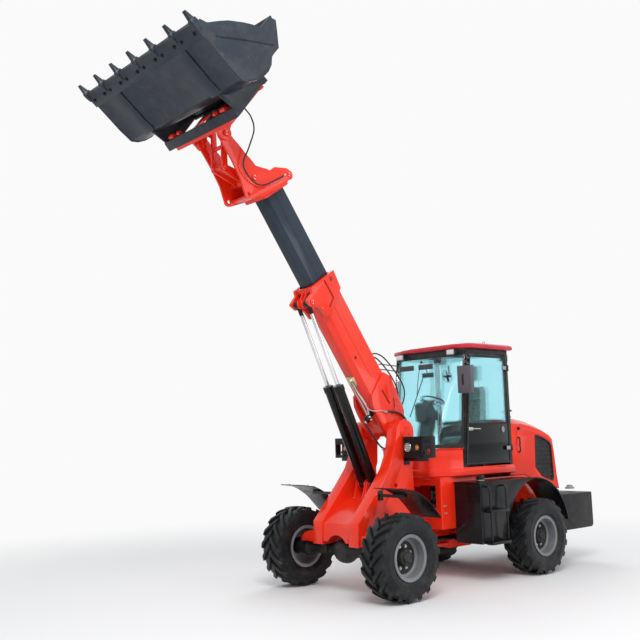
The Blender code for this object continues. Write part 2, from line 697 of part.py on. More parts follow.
def make_front_frame():
    red = material("red_paint", RED, 0.35)
    columns = both(plate(column_outline(), COLUMN_INNER_Y, COLUMN_OUTER_Y))
    t = CROSS_PLATE_THICKNESS
    spine = [(0.178, 0.66), (0.158, 0.90), (0.02, 1.00), (-0.24, 1.17), (-0.40, 1.20), (-0.84, 1.20)]
    outline = spine + [(x - 0.3 * t, z - t) for x, z in reversed(spine[1:])] + [(0.178 - t, 0.66)]
    bridge = plate(outline, -COLUMN_INNER_Y - 0.01, COLUMN_INNER_Y + 0.01)
    arch = rod((-0.2, 0, TYRE_RADIUS), (0.4, 0, TYRE_RADIUS), DIFFERENTIAL_RADIUS + 0.05, 20)
    bridge = cut(bridge, arch)
    rear_web = box(-0.90, -0.86, -COLUMN_INNER_Y - 0.01, COLUMN_INNER_Y + 0.01, 0.50, 1.22)
    plates = []
    for low, high in ((STEER_LUG_LOW, STEER_LUG_LOW + STEER_LUG_THICKNESS),
                      (STEER_LUG_HIGH - STEER_LUG_THICKNESS, STEER_LUG_HIGH)):
        outline = (arc((HINGE_X, 0), HINGE_LUG_RADIUS, 110, 250, 8)
                   + [(HINGE_X + 0.345, -0.345), (HINGE_X + 0.485, -0.345), (HINGE_X + 0.545, -0.25),
                      (HINGE_X + 0.545, 0.25), (HINGE_X + 0.485, 0.345), (HINGE_X + 0.345, 0.345)])
        plates.append(slab(outline, low, high))
    rails = both(box(HINGE_X + 0.485, -0.20, COLUMN_INNER_Y, 0.30, STEER_LUG_LOW, 0.66))
    ears = []
    for y_low, y_high in ((0.012, 0.028), (0.178, 0.198)):
        outline = (arc((LIFT_BASE_X, LIFT_BASE_Z), 0.065, -10, 190, 8)
                   + [(LIFT_BASE_X - 0.12, 1.18), (LIFT_BASE_X + 0.13, 1.15)])
        ears += both(plate(outline, y_low, y_high))
    for y_low, y_high in ((0.020, LIFT_EYE_INNER - GAP), (LIFT_EYE_OUTER + GAP, 0.185)):
        ears += both(pin_at(LIFT_BASE_X, LIFT_BASE_Z, y_low, y_high, 0.044))
    bosses = both(rod((PIVOT_X, COLUMN_OUTER_Y - 0.02, PIVOT_Z), (PIVOT_X, COLUMN_OUTER_Y + 0.012, PIVOT_Z),
                      0.105, 20))
    pin = rod((PIVOT_X, -COLUMN_INNER_Y - 0.05, PIVOT_Z), (PIVOT_X, COLUMN_INNER_Y + 0.05, PIVOT_Z),
              PIVOT_PIN_RADIUS, 18)
    lift_pin = rod((LIFT_BASE_X, -0.204, LIFT_BASE_Z), (LIFT_BASE_X, 0.204, LIFT_BASE_Z),
                   LIFT_PIN_RADIUS, 14)
    bracket = [(COLUMN_OUTER_Y - 0.01, 0.635), (COLUMN_OUTER_Y - 0.01, 0.765), (0.58, 0.775), (0.68, 0.745),
               (0.745, 0.680), (0.755, 0.635)]
    brackets = both(loft([[(x, y, z) for y, z in bracket] for x in (0.075, 0.145)]))
    mesh = join(columns[0], columns[1], bridge, rear_web, *plates, *rails, *ears, *bosses, pin,
                lift_pin, *brackets)
    hole = rod((HINGE_X, 0, 0.3), (HINGE_X, 0, 0.9),
               (HINGE_PIN_RADIUS + PIN_GAP) / math.cos(math.pi / 16), 16)
    spy_holes = both(rod((-0.533, COLUMN_INNER_Y - 0.1, 1.36), (-0.533, COLUMN_OUTER_Y + 0.1, 1.36),
                         0.032, 12))
    piece("front_frame", "front_frame", cut(mesh, hole, *spy_holes), red)
    black = material("black_paint", BLACK, 0.4)
    for side, sign in MIRRORED:
        fender = join(fender_sheet(), fender_bracket())
        piece("front_fender_" + side, "front_frame", on_side(fender, sign), black)
        piece("headlight_" + side, "front_frame", on_side(headlight(), sign), black)


def fender_sheet():
    """The curved front mudguard: one sheet, flat ahead and rolled down behind the wheel."""
    upper = [(0.14, 1.383), (-0.063, 1.353), (-0.17, 1.310), (-0.253, 1.262), (-0.33, 1.210),
             (-0.389, 1.158), (-0.484, 1.066), (-0.566, 0.983)]
    lower = [(x - 0.3 * FENDER_SHEET, z - FENDER_SHEET) for x, z in reversed(upper)]
    return plate(upper + lower, FENDER_INNER_Y, FENDER_OUTER_Y)


def fender_bracket():
    inner = COLUMN_OUTER_Y + GAP
    arm = box(-0.25, -0.20, inner, 0.90, 1.235, 1.275)
    foot = box(-0.27, -0.18, inner, inner + 0.012, 1.19, 1.32)
    post = box(-0.245, -0.205, FENDER_INNER_Y + 0.02, 0.88, 1.27, 1.285)
    return join(arm, foot, post)


def headlight():
    """A lamp box with a slotted face, an open outer frame and its arm from the column."""
    split = LAMP_SPLIT_Y
    shell = box(LAMP_BACK_X, LAMP_FRONT_X, LAMP_INNER_Y, split, LAMP_LOW, LAMP_HIGH)
    cuts = []
    for row in range(6):
        z = LAMP_LOW + 0.022 + row * 0.0445
        cuts.append(box(LAMP_FRONT_X - 0.012, LAMP_FRONT_X + 0.1, LAMP_INNER_Y + 0.015,
                        split - 0.015, z, z + 0.022))
    shell = cut(shell, *cuts)
    frame = box(LAMP_BACK_X, LAMP_FRONT_X, split - 0.01, LAMP_OUTER_Y, LAMP_LOW, LAMP_HIGH)
    frame = cut(frame, box(LAMP_BACK_X - 0.1, LAMP_FRONT_X + 0.1, split + 0.03, LAMP_OUTER_Y - 0.025,
                           LAMP_LOW + 0.045, LAMP_HIGH - 0.09))
    lens = rod((LAMP_FRONT_X - 0.04, 0.535, 1.863), (LAMP_FRONT_X + 0.012, 0.535, 1.863), 0.062, 18)
    flash = rod((LAMP_FRONT_X - 0.04, 0.705, 1.860), (LAMP_FRONT_X + 0.014, 0.705, 1.860), 0.040, 14)
    arm = box(-0.775, -0.725, COLUMN_OUTER_Y + GAP, 0.83, LAMP_LOW - 0.045, LAMP_LOW + 0.005)
    foot = box(-0.80, -0.70, COLUMN_OUTER_Y + GAP, COLUMN_OUTER_Y + 0.014, LAMP_LOW - 0.09,
               LAMP_LOW + 0.02)
    return join(shell, frame, lens, flash, arm, foot)


def section(half_width, low, high, chamfer, s):
    """The boom's cross section at a station: flat sides with two chamfered lower corners."""
    outline = [(-half_width, high), (-half_width, low + chamfer), (-half_width + chamfer, low),
               (half_width - chamfer, low), (half_width, low + chamfer), (half_width, high)]
    return [(s, y, h) for y, h in outline]


def box_beam(half_width, low, high, chamfer, start, end):
    return loft([section(half_width, low, high, chamfer, s) for s in (start, end)])


def pin_at(s, h, y_low, y_high, radius, sides=14):
    """A pin across the boom, the linkage or the bucket."""
    return rod((s, y_low, h), (s, y_high, h), radius, sides)


def bore_at(s, h, pin_radius, sides=14):
    """A cutter for the hole that a pin turns in, clear of its corners."""
    radius = (pin_radius + PIN_GAP) / math.cos(math.pi / sides)
    return pin_at(s, h, -1, 1, radius, sides)


def make_boom():
    red = material("red_paint", RED, 0.35)
    hw, low, high, wall = OUTER_HALF_WIDTH, OUTER_LOW, OUTER_HIGH, OUTER_WALL
    shell = box_beam(hw, low, high, OUTER_CHAMFER, 0.10, OUTER_END)
    root = [(0.752, 0.369), (0.635, 0.45), (0.106, 0.384), (-0.032, 0.282), (-0.105, 0.06)]
    root += arc((0, 0), 0.115, 170, 270, 5) + [(0.40, -0.100), (0.50, -0.087), (0.62, -0.02)]
    cheeks = both(plate(root, hw - 0.012, CHEEK_OUTER_Y))
    heel = plate([(0.25, low + 0.003), (0.25, high - 0.003), (0.106, 0.368), (-0.025, 0.27),
                  (-0.09, 0.05), (0.0, -0.085)], 0.003 - hw, hw - 0.003)
    collar = [(OUTER_END, 0.411), (OUTER_END, -0.074), (2.30, -0.10), (2.262, -0.235), (2.235, -0.247),
              (2.150, -0.215), (2.134, -0.197), (2.106, -0.115), (2.051, -0.087), (1.917, -0.061),
              (1.903, 0.014), (2.00, 0.18), (2.101, 0.379), (2.137, 0.384)]
    cheeks += both(plate(collar, hw - 0.006, CHEEK_OUTER_Y))
    ear = ([(2.34, low + 0.01), (2.28, -0.12)]
           + arc((EAR_S, EAR_H), 0.066, 20, -160, 6) + [(2.08, low + 0.01)])
    ears = both(plate(ear, 0.030, 0.048))
    caps = []
    for s_low, h_low, h_high, half in ((2.145, high - 0.004, 0.380, CHEEK_OUTER_Y - 0.010),
                                       (2.290, -0.070, low + 0.004, CHEEK_OUTER_Y - 0.015)):
        caps.append(box(s_low, OUTER_END - 0.004, -half, half, h_low, h_high))
    bosses = both(pin_at(0, 0, hw - 0.02, COLUMN_INNER_Y - GAP, 0.10, 18))
    spacers = both(pin_at(EAR_S, EAR_H, 0.040, LIFT_EYE_INNER - GAP, 0.042))
    spacers += both(pin_at(EAR_S, EAR_H, LIFT_EYE_OUTER + GAP, 0.150, 0.042))
    ear_pins = both(pin_at(EAR_S, EAR_H, hw, CHEEK_OUTER_Y + 0.012, 0.04))
    cylinder_eye = plate(arc((2.20, 0.455), 0.035, -10, 190, 6) + [(2.12, 0.36), (2.28, 0.36)],
                         -0.03, 0.03)
    solid = join(shell, heel, *cheeks, *ears, *caps, *bosses, *spacers, *ear_pins,
                 cylinder_eye)
    cavity = box_beam(hw - wall, low + wall, high - wall, OUTER_CHAMFER - 0.004, 0.30, OUTER_END + 0.1)
    solid = cut(solid, cavity, bore_at(0, 0, PIVOT_PIN_RADIUS, 18))
    pads = []
    for s_low, s_high in ((2.24, OUTER_END - 0.01), (INNER_START + 0.05, INNER_START + 0.14)):
        for y_low, y_high, h_low, h_high in (
                (INNER_HALF_WIDTH + GAP, hw - 0.5 * wall, 0.06, 0.13),
                (INNER_HALF_WIDTH + GAP, hw - 0.5 * wall, 0.20, 0.27),
                (0.02, 0.07, low + 0.5 * wall, INNER_LOW - GAP),
                (0.03, 0.10, INNER_HIGH + GAP, high - 0.5 * wall)):
            pads += both(box(s_low, s_high, y_low, y_high, h_low, h_high))
    piece("boom_outer", "boom", join(solid, *pads), red, BOOM)
    inner = box_beam(INNER_HALF_WIDTH, INNER_LOW, INNER_HIGH, INNER_CHAMFER, INNER_START, INNER_END)
    w = INNER_WALL
    hollow = box_beam(INNER_HALF_WIDTH - w, INNER_LOW + w, INNER_HIGH - w, INNER_CHAMFER - 0.004,
                      INNER_START - 0.1, INNER_END + 0.1)
    slate = material("slate_paint", SLATE, 0.4)
    piece("boom_inner", "extension", cut(inner, hollow), slate, BOOM)


def head_cheek_outline():
    """One cheek of the boom head, from the rear lobe round the toe and back."""
    return ([(3.86, 0.45)] + arc((3.767, 0.435), 0.068, 60, 215, 6)
            + [(3.685, 0.322), (3.715, -0.087), (3.765, -0.30)]
            + arc((3.83, -0.30), 0.06, 195, 300, 4)
            + [(3.93, -0.334), (4.053, -0.300), (4.313, -0.285), (4.50, -0.290)]
            + arc((TILT_S, TILT_H), 0.088, 250, 420, 8)
            + [(4.511, -0.107), (4.422, -0.076), (4.289, -0.046), (4.198, -0.014), (4.095, 0.009),
               (4.061, 0.044), (3.983, 0.148), (3.946, 0.182), (3.95, 0.28)])


def make_head():
    red = material("red_paint", RED, 0.35)
    outer, t = HEAD_CHEEK_OUTER, HEAD_CHEEK_THICKNESS
    inner = outer - t
    cheeks = both(plate(head_cheek_outline(), inner, outer))
    socket = box(HEAD_START, 3.80, -inner - 0.005, inner + 0.005, -0.070, 0.375)
    pocket = box_beam(INNER_HALF_WIDTH + GAP, INNER_LOW - GAP, INNER_HIGH + GAP, INNER_CHAMFER,
                      HEAD_START - 0.1, INNER_END + GAP)
    lane = box(INNER_END - 0.1, 3.90, -0.055, 0.055, 0.055, 0.185)
    floor = plate([(3.735, -0.16), (3.795, -0.26), (3.825, -0.26), (3.775, -0.06), (3.735, -0.05)],
                  -inner - 0.004, inner + 0.004)
    brow = plate([(3.78, 0.340), (3.915, 0.235), (3.930, 0.252), (3.795, 0.362)],
                 -inner - 0.004, inner + 0.004)
    ribs = both(plate([(3.945, 0.17), (3.80, 0.30), (3.72, 0.42), (3.88, 0.42), (3.935, 0.25)],
                      inner - t, inner + 0.006))
    bosses = both(pin_at(TILT_S, TILT_H, inner - 0.010, outer + 0.004, 0.07))
    ends = both(pin_at(TILT_S, TILT_H, inner - 0.012, 0.292, 0.038))
    links = both(pin_at(3.767, 0.435, inner - 0.03, outer + 0.006, 0.034))
    mesh = join(cheeks[0], socket, cheeks[1], floor, brow, *ribs, *bosses, *ends, *links)
    mesh = cut(mesh, pocket, lane, *both(pin_at(3.83, -0.295, 0.1, 0.4, 0.026)))
    mesh = join(mesh, pin_at(CRANK_S, CRANK_H, -outer - 0.01, outer + 0.01, 0.040))
    piece("boom_head", "extension", mesh, red, BOOM)


def bar_outline(start, end, radius_start, radius_end):
    """A flat lever between two eyes, as (s, h) points."""
    direction = math.degrees(math.atan2(end[1] - start[1], end[0] - start[0]))
    first = arc(start, radius_start, direction + 80, direction + 280, 7)
    last = arc(end, radius_end, direction - 100, direction + 100, 7)
    return first + last


def make_tilt_linkage():
    red = material("red_paint", RED, 0.35)
    crank, knuckle = (CRANK_S, CRANK_H), (KNUCKLE_S, KNUCKLE_H)
    eye = (ROD_EYE_S, ROD_EYE_H)
    arms = []
    for y_low, y_high in ((0.062, 0.086), (-0.086, -0.062)):
        arms.append(plate(bar_outline(crank, knuckle, 0.075, 0.052), y_low, y_high))
        arms.append(plate(bar_outline(crank, eye, 0.071, 0.045), y_low + 0.001, y_high - 0.001))
    sleeve = pin_at(*crank, -0.2067, 0.2067, 0.062)
    knuckle_pin = pin_at(*knuckle, -0.130, 0.130, 0.026)
    stubs = both(pin_at(*eye, 0.0423, 0.092, 0.03))
    washers = both(pin_at(*knuckle, 0.080, 0.0957, 0.040))
    mesh = join(sleeve, knuckle_pin, *arms, *stubs, *washers)
    piece("bell_crank", "bell_crank", cut(mesh, bore_at(*crank, 0.040)), red, BOOM)
    top = (TILT_S + LINK_ARM * math.cos(LINK_ARM_ANGLE), TILT_H + LINK_ARM * math.sin(LINK_ARM_ANGLE))
    bars = []
    for bar in both(plate(bar_outline(knuckle, top, 0.046, 0.038), 0.096, 0.120)):
        bars.append(cut(bar, bore_at(*knuckle, 0.026)))
    middle = [(k * 0.45 + t * 0.55) for k, t in zip(knuckle, top)]
    web = pin_at(*middle, -0.104, 0.104, 0.026, 10)
    piece("tilt_link", "tilt_link", join(web, *bars), red, BOOM)
    shaft = rod((ROD_EYE_S - 0.62, 0, ROD_EYE_H), (ROD_EYE_S, 0, ROD_EYE_H), TILT_ROD_RADIUS, 14)
    head = pin_at(*eye, -0.042, 0.042, 0.048)
    chrome = material("chrome", (0.75, 0.76, 0.78), 0.15, 1.0)
    piece("tilt_rod", "tilt_rod", join(shaft, head), chrome, BOOM)


def make_coupler():
    red = material("red_paint", RED, 0.35)
    back, face = -0.412, -0.3693
    half = 0.60
    frame = box(back, face, -half, half, 0.02, 0.715)
    frame = cut(frame, *both(box(back - 0.1, face + 0.1, 0.315, half - 0.08, 0.12, 0.60)))
    ear = (arc((PIVOT_F, PIVOT_U), 0.085, 100, 290, 8)
           + [(face - 0.01, 0.025), (face - 0.01, 0.42), (-0.44, 0.42)])
    ears = both(plate(ear, 0.2415, 0.282))
    arm = Vector((LINK_ARM * math.cos(LINK_ARM_ANGLE), LINK_ARM * math.sin(LINK_ARM_ANGLE)))
    turn = BOOM_ANGLE - BUCKET_ANGLE
    link_f = PIVOT_F + arm.x * math.cos(turn) - arm.y * math.sin(turn)
    link_u = PIVOT_U + arm.x * math.sin(turn) + arm.y * math.cos(turn)
    lug = arc((link_f, link_u), 0.045, 90, 270, 7) + [(face - 0.01, 0.17), (face - 0.01, 0.36)]
    lugs = both(plate(lug, 0.140, 0.168))
    stubs = both(pin_at(link_f, link_u, 0.1203, 0.180, 0.03))
    hooks = []
    outline = [(face - 0.02, 0.0665), (-0.345, 0.0665), (-0.258, 0.0835), (-0.240, 0.0835), (-0.240, 0.052),
               (-0.218, 0.044), (-0.196, 0.070), (-0.222, 0.112), (face - 0.02, 0.110)]
    for y, half_width in HOOKS:
        hooks += both(plate(outline, y - half_width, y + half_width))
    top_rail = box(back - 0.006, face - 0.002, -half - 0.04, half + 0.04, 0.695, 0.745)
    mesh = join(frame, *ears, *lugs, *stubs, *hooks, top_rail)
    mesh = cut(mesh, bore_at(PIVOT_F, PIVOT_U, 0.038))
    piece("coupler", "bucket", mesh, red, BUCKET)


def strip(path, thickness):
    """An open path given a thickness on its left-hand side, as a closed outline."""
    inner = []
    for i, point in enumerate(path):
        ahead = path[min(i + 1, len(path) - 1)]
        behind = path[max(i - 1, 0)]
        along = Vector((ahead[0] - behind[0], ahead[1] - behind[1])).normalized()
        inner.append((point[0] - along.y * thickness, point[1] + along.x * thickness))
    return list(path) + inner[::-1]


def make_bucket():
    slate = material("slate_paint", SLATE, 0.4)
    half = BUCKET_HALF_WIDTH
    back_curve = [(-0.075, 0.085), (-0.128, 0.18), (-0.160, 0.29), (-0.165, 0.40), (-0.148, 0.50),
                  (-0.105, 0.59), (-0.095, 0.74), (-0.02, 0.84), (0.07, 0.93)]
    path = ([(FLOOR_LENGTH, 0.0), (0.19, 0.0), (0.0, 0.014)] + back_curve)[::-1]
    shell = plate(strip(path, BUCKET_WALL), -half + 0.01, half - 0.01)
    lip = FLOOR_LENGTH
    side = ([(lip - 0.01, 0.002), (lip - 0.02, 0.10), (lip - 0.101, 0.147), (lip - 0.186, 0.30),
             (0.531, 0.41), (0.392, 0.572), (0.30, 0.66), (0.214, 0.728), (0.22, 0.939),
             (0.135, 0.993), (0.044, 0.903), (-0.098, 0.756), (-0.099, 0.59), (-0.158, 0.50),
             (-0.180, 0.40), (-0.173, 0.29), (-0.140, 0.18), (-0.085, 0.08), (-0.01, 0.008), (0.19, -0.006)])
    sides = both(plate(side, half - BUCKET_SIDE_WALL, half))
    edge = plate([(lip - 0.186, -0.022), (lip + 0.004, -0.022), (lip + 0.026, 0.0),
                  (lip - 0.03, 0.020), (lip - 0.186, 0.010)], -half, half)
    strips = []
    for y in (-0.745, 0.745):
        strips.append(plate([(lip - 0.181, -0.018), (lip - 0.181, 0.006), (0.19, 0.006), (-0.005, 0.018),
                             (-0.020, -0.004), (0.18, -0.018)], y - 0.10, y + 0.10))
    guard = plate(strip([(0.21, 0.985), (0.05, 0.905), (-0.02, 0.83)], BUCKET_WALL),
                  -half + 0.01, half - 0.01)
    frame = [(-0.01, 0.017), (-0.242, 0.060), (-0.369, 0.035), (-0.369, 0.10), (-0.345, 0.74),
             (-0.30, 0.745), (-0.20, 0.60), (-0.13, 0.50), (-0.09, 0.30)]
    plates = both(plate(frame, HITCH_HALF_WIDTH - HITCH_PLATE, HITCH_HALF_WIDTH))
    bar = plate([(-0.250, 0.046), (-0.369, 0.025), (-0.369, 0.125), (-0.345, 0.125), (-0.345, 0.055),
                 (-0.255, 0.075)], -HITCH_HALF_WIDTH, HITCH_HALF_WIDTH)
    slots = []
    for y, half_width in HOOKS:
        slots += both(plate([(-0.50, 0.061), (-0.33, 0.061), (-0.33, 0.1135), (-0.50, 0.1135)],
                            y - half_width - MOVING_GAP, y + half_width + MOVING_GAP))
    bar = cut(bar, *slots)
    rail = plate([(-0.369, 0.68), (-0.345, 0.68), (-0.325, 0.745), (-0.369, 0.745)],
                 -HITCH_HALF_WIDTH, HITCH_HALF_WIDTH)
    lip = plate(strip([(-0.13, 0.60), (-0.355, 0.735)], 0.012), -HITCH_HALF_WIDTH, HITCH_HALF_WIDTH)
    teeth = []
    for i in range(TOOTH_COUNT):
        y = (half - TOOTH_WIDTH / 2 + 0.02) * (2 * i / (TOOTH_COUNT - 1) - 1)
        teeth.append(tooth(y))
    mesh = join(shell, *sides, edge, *strips, guard, *plates, bar, rail, lip, *teeth)
    piece("bucket", "bucket", mesh, slate, BUCKET)


def tooth(y):
    """An adapter that straddles the cutting edge, with a flat chisel point."""
    w, lip = TOOTH_WIDTH / 2, FLOOR_LENGTH
    stations = (  # along the floor, half width, underside, top
        (lip - 0.090, w * 0.75, -0.028, 0.034),
        (lip - 0.010, w, -0.036, 0.058),
        (lip + 0.035, w, -0.034, 0.050),
        (lip + 0.045, w * 0.86, -0.024, 0.034),
        (TOOTH_REACH, w * 0.80, -0.006, 0.008),
    )
    sections = []
    for f, half, low, high in stations:
        corners = ((-half, low), (half, low), (half, high), (-half, high))
        sections.append([(f, y + a, u) for a, u in corners])
    return loft(sections)


def make_lift_cylinders():
    base = Vector((LIFT_BASE_X, 0, LIFT_BASE_Z))
    eye = BOOM.at(EAR_S, EAR_H)
    along = (eye - base).normalized()
    barrels, bores = [], []
    for sign in (1, -1):
        shift = Vector((0, sign * LIFT_HALF_SPACING, 0))
        foot, gland = base + shift + along * 0.05, base + shift + along * LIFT_BARREL_LENGTH
        side = Vector((0, LIFT_EYE_HALF_WIDTH, 0))
        barrels.append(rod(foot, gland, LIFT_BARREL_RADIUS, 18))
        barrels.append(rod(gland - along * 0.07, gland + along * 0.012, LIFT_BARREL_RADIUS + 0.007, 18))
        barrels.append(rod(base + shift - side, base + shift + side, LIFT_EYE_RADIUS, 16))
        bores.append(rod(base + shift + along * 0.11, gland + along * 0.1,
                         LIFT_ROD_RADIUS + PIN_GAP, 16))
    return base, eye, along, barrels, bores


def place_lift_cylinders():
    black = material("cylinder_black", BLACK, 0.3)
    chrome = material("chrome", (0.75, 0.76, 0.78), 0.15, 1.0)
    base, eye, along, barrels, bores = make_lift_cylinders()
    pin_hole = bore_at(LIFT_BASE_X, LIFT_BASE_Z, LIFT_PIN_RADIUS)
    for k, (side, sign) in enumerate(MIRRORED):
        mesh = cut(join(*barrels[3 * k:3 * k + 3]), bores[k], pin_hole.copy())
        piece("lift_barrel_" + side, "lift_barrels", mesh, black)
        centre = eye + Vector((0, sign * LIFT_HALF_SPACING, 0))
        half = Vector((0, LIFT_EYE_HALF_WIDTH, 0))
        neck = centre - along * LIFT_NECK_LENGTH
        head = join(rod(neck, centre - along * 0.05, LIFT_ROD_RADIUS + 0.003, 14),
                    rod(centre - half, centre + half, LIFT_EYE_RADIUS - 0.006, 16))
        piece("lift_eye_" + side, "lift_rods", head, black)
        shaft = rod(centre - along * LIFT_ROD_LENGTH, neck - along * GAP, LIFT_ROD_RADIUS, 16)
        piece("lift_rod_" + side, "lift_rods", shaft, chrome)


def post(x_low, z_low, x_high, z_high, y, half_x=POST / 2, half_y=POST / 2):
    """A leaning post, cut level at its foot and its top."""
    corners = ((-1, -1), (1, -1), (1, 1), (-1, 1))
    return loft([[(x + a * half_x, y + b * half_y, z) for a, b in corners]
                 for x, z in ((x_low, z_low), (x_high, z_high))])


def windscreen_x(z):
    return CAB_FRONT_X - CAB_FRONT_RAKE * (z - GLASS_FOOT_Z)


def door_post_x(z):
    return DOOR_POST_FOOT_X - DOOR_POST_RAKE * (z - SILL_Z)



def screen_path(z):
    """The windscreen's outer face at one height, from the right door post round to the left one."""
    corner = Vector((windscreen_x(z), CAB_FRONT_HALF_WIDTH))
    back = Vector((door_post_x(z) + POST / 2 + 0.008, CAB_HALF_WIDTH - 0.018))
    front = corner - Vector((0, GLASS_BEND))
    rear = corner + (back - corner).normalized() * GLASS_BEND
    left = []
    for i in range(5):
        t = i / 4
        left.append(front * (1 - t) ** 2 + corner * 2 * t * (1 - t) + rear * t ** 2)
    left.append(back)
    right = [Vector((x, -y)) for x, y in reversed(left)]
    return [tuple(point) for point in right + left]


def grown(plan, amount):
    """A plan pushed out from the cab's middle line and ends by a small amount."""
    middle = (CAB_FRONT_X + REAR_POST_X) / 2
    return [(x + math.copysign(amount, x - middle), y + math.copysign(amount, y)) for x, y in plan]


def make_cab_base():
    """The tub under the cab: a moulded skirt, a waist and a ledge for the windscreen."""
    half, front_half = CAB_HALF_WIDTH, CAB_FRONT_HALF_WIDTH
    nose, side = CAB_FRONT_X + 0.04, DOOR_POST_FOOT_X + 0.04
    left = [(nose, front_half - 0.08), (nose - 0.015, front_half - 0.025), (nose - 0.05, front_half + 0.01),
            (side + 0.03, half - 0.014), (side - 0.02, half), (REAR_POST_X - 0.05, half)]
    plan = [(x, -y) for x, y in reversed(left)] + left
    top = GLASS_FOOT_Z - 0.022
    levels = ((CAB_FLOOR_Z, 0.0), (CAB_FLOOR_Z + 0.015, SKIRT_SWELL), (SILL_Z - 0.035, SKIRT_SWELL),
              (SILL_Z - 0.015, 0.0), (top - 0.03, 0.0), (top, -0.02))
    tub = loft([[(x, y, z) for x, y in grown(plan, amount)] for z, amount in levels])
    inner = [(nose - 0.05, -front_half + 0.06), (nose - 0.05, front_half - 0.06),
             (side - 0.03, half - 0.045), (REAR_POST_X, half - 0.045),
             (REAR_POST_X, -half + 0.045), (side - 0.03, -half + 0.045)]
    return cut(tub, slab(inner, CAB_FLOOR_Z + 0.03, top + 0.1),
               box(REAR_POST_X - 0.2, side - 0.002, -1, 1, SILL_Z, top + 0.1))


def make_cab_frame():
    """Door posts, rear posts, the header round the windscreen, and the lamps under the roof."""
    half, inset = CAB_HALF_WIDTH, POST / 2
    side = half - inset
    low, top = SILL_Z + GAP, CAB_TOP_Z
    header = slab(strip(screen_path(top - 0.05), 0.05), top - 0.10, top)
    posts = []
    for y in (side, -side):
        posts.append(post(door_post_x(low), low, door_post_x(top), top, y))
        posts.append(post(REAR_POST_X, low, REAR_POST_X, top, y))
        posts.append(beam((door_post_x(top - 0.04), y, top - 0.042), (REAR_POST_X, y, top - 0.042),
                          POST * 0.96, 0.08))
    posts.append(beam((REAR_POST_X, -side, top - 0.042), (REAR_POST_X, side, top - 0.042),
                      0.05, 0.08, (1, 0, 0)))
    posts.append(box(REAR_POST_X - 0.02, REAR_POST_X + 0.02, -side, side, low, REAR_PANEL_TOP))
    posts.append(box(windscreen_x(top) - 0.03, REAR_POST_X + 0.02, -0.38, 0.38, top - 0.03, top - 0.002))
    lamps = []
    for y in (0.502, -0.502):
        x = windscreen_x(3.2) + 0.07
        lamps.append(box(x - 0.075, x + 0.015, y - 0.065, y + 0.065, 3.165, 3.235))
    for y in (0.60, -0.60):
        lamps.append(box(REAR_POST_X - 0.11, REAR_POST_X - 0.02, y - 0.05, y + 0.05, 3.09, 3.19))
    leaves = [box(HINGE_DOOR_X - 0.014, HINGE_DOOR_X + 0.010, half - 0.01, HINGE_DOOR_Y - 0.016 - GAP,
                  z - 0.04, z + 0.04) for z in DOOR_HINGE_LEVELS]
    return join(header, *posts, *lamps, *leaves)


def make_roof():
    low = CAB_TOP_Z + GAP
    front, back = CAB_FRONT_X - 0.49, REAR_POST_X - 0.13
    left = [(front, 0.30), (front - 0.022, 0.507), (front - 0.13, 0.79), (back + 0.05, 0.77), (back, 0.70)]
    plan = [(x, -y) for x, y in reversed(left)] + left
    middle = (front + back) / 2
    crown = [(middle + (x - middle) * 0.95, y * 0.93) for x, y in plan]
    high = low + ROOF_THICKNESS
    return loft([[(x, y, low) for x, y in plan], [(x, y, high - 0.012) for x, y in plan],
                 [(x, y, high + 0.012) for x, y in crown]])


def make_cab():
    dark = material("cab_black", (0.03, 0.035, 0.036), 0.5)
    glass = material("glass", (0.55, 0.75, 0.80), 0.05, 0.0, 0.35)
    piece("cab_base", "rear_frame", make_cab_base(), material("red_paint", RED, 0.35))
    piece("cab_frame", "rear_frame", make_cab_frame(), dark)
    piece("cab_roof", "rear_frame", make_roof(), material("roof_crimson", CRIMSON, 0.4))
    bottom, top = GLASS_FOOT_Z - 0.022 + GAP, CAB_TOP_Z - 0.10 - GAP
    levels = [bottom + (top - bottom) * i / 3 for i in range(4)]
    screen = loft([[(x, y, z) for x, y in strip(screen_path(z), GLASS_THICKNESS)] for z in levels])
    piece("windscreen", "rear_frame", screen, glass)
    side, inset = CAB_HALF_WIDTH - POST / 2, POST / 2
    pane_top = CAB_TOP_Z - 0.084
    rear = box(REAR_POST_X - 0.004, REAR_POST_X + 0.004, inset - side + GAP, side - inset - GAP,
               REAR_PANEL_TOP + GAP, pane_top)
    piece("rear_window", "rear_frame", rear, glass)
    ahead = 0.002 + inset
    window = plate([(door_post_x(SILL_Z) - ahead, SILL_Z + 0.002),
                    (REAR_POST_X + inset + GAP, SILL_Z + 0.002),
                    (REAR_POST_X + inset + GAP, pane_top), (door_post_x(pane_top) - ahead, pane_top)],
                   0.012 - CAB_HALF_WIDTH, 0.012 - CAB_HALF_WIDTH + GLASS_THICKNESS)
    piece("right_window", "rear_frame", window, glass)


def door_outline(margin):
    """The door seen from the side: its front edge follows the raked post."""
    low, high = SILL_Z + 0.03 + margin, CAB_TOP_Z - 0.10 - margin
    return [(door_post_x(low) + 0.005 - margin, low), (REAR_POST_X + 0.035 + margin, low),
            (REAR_POST_X + 0.035 + margin, high), (door_post_x(high) + 0.005 - margin, high)]


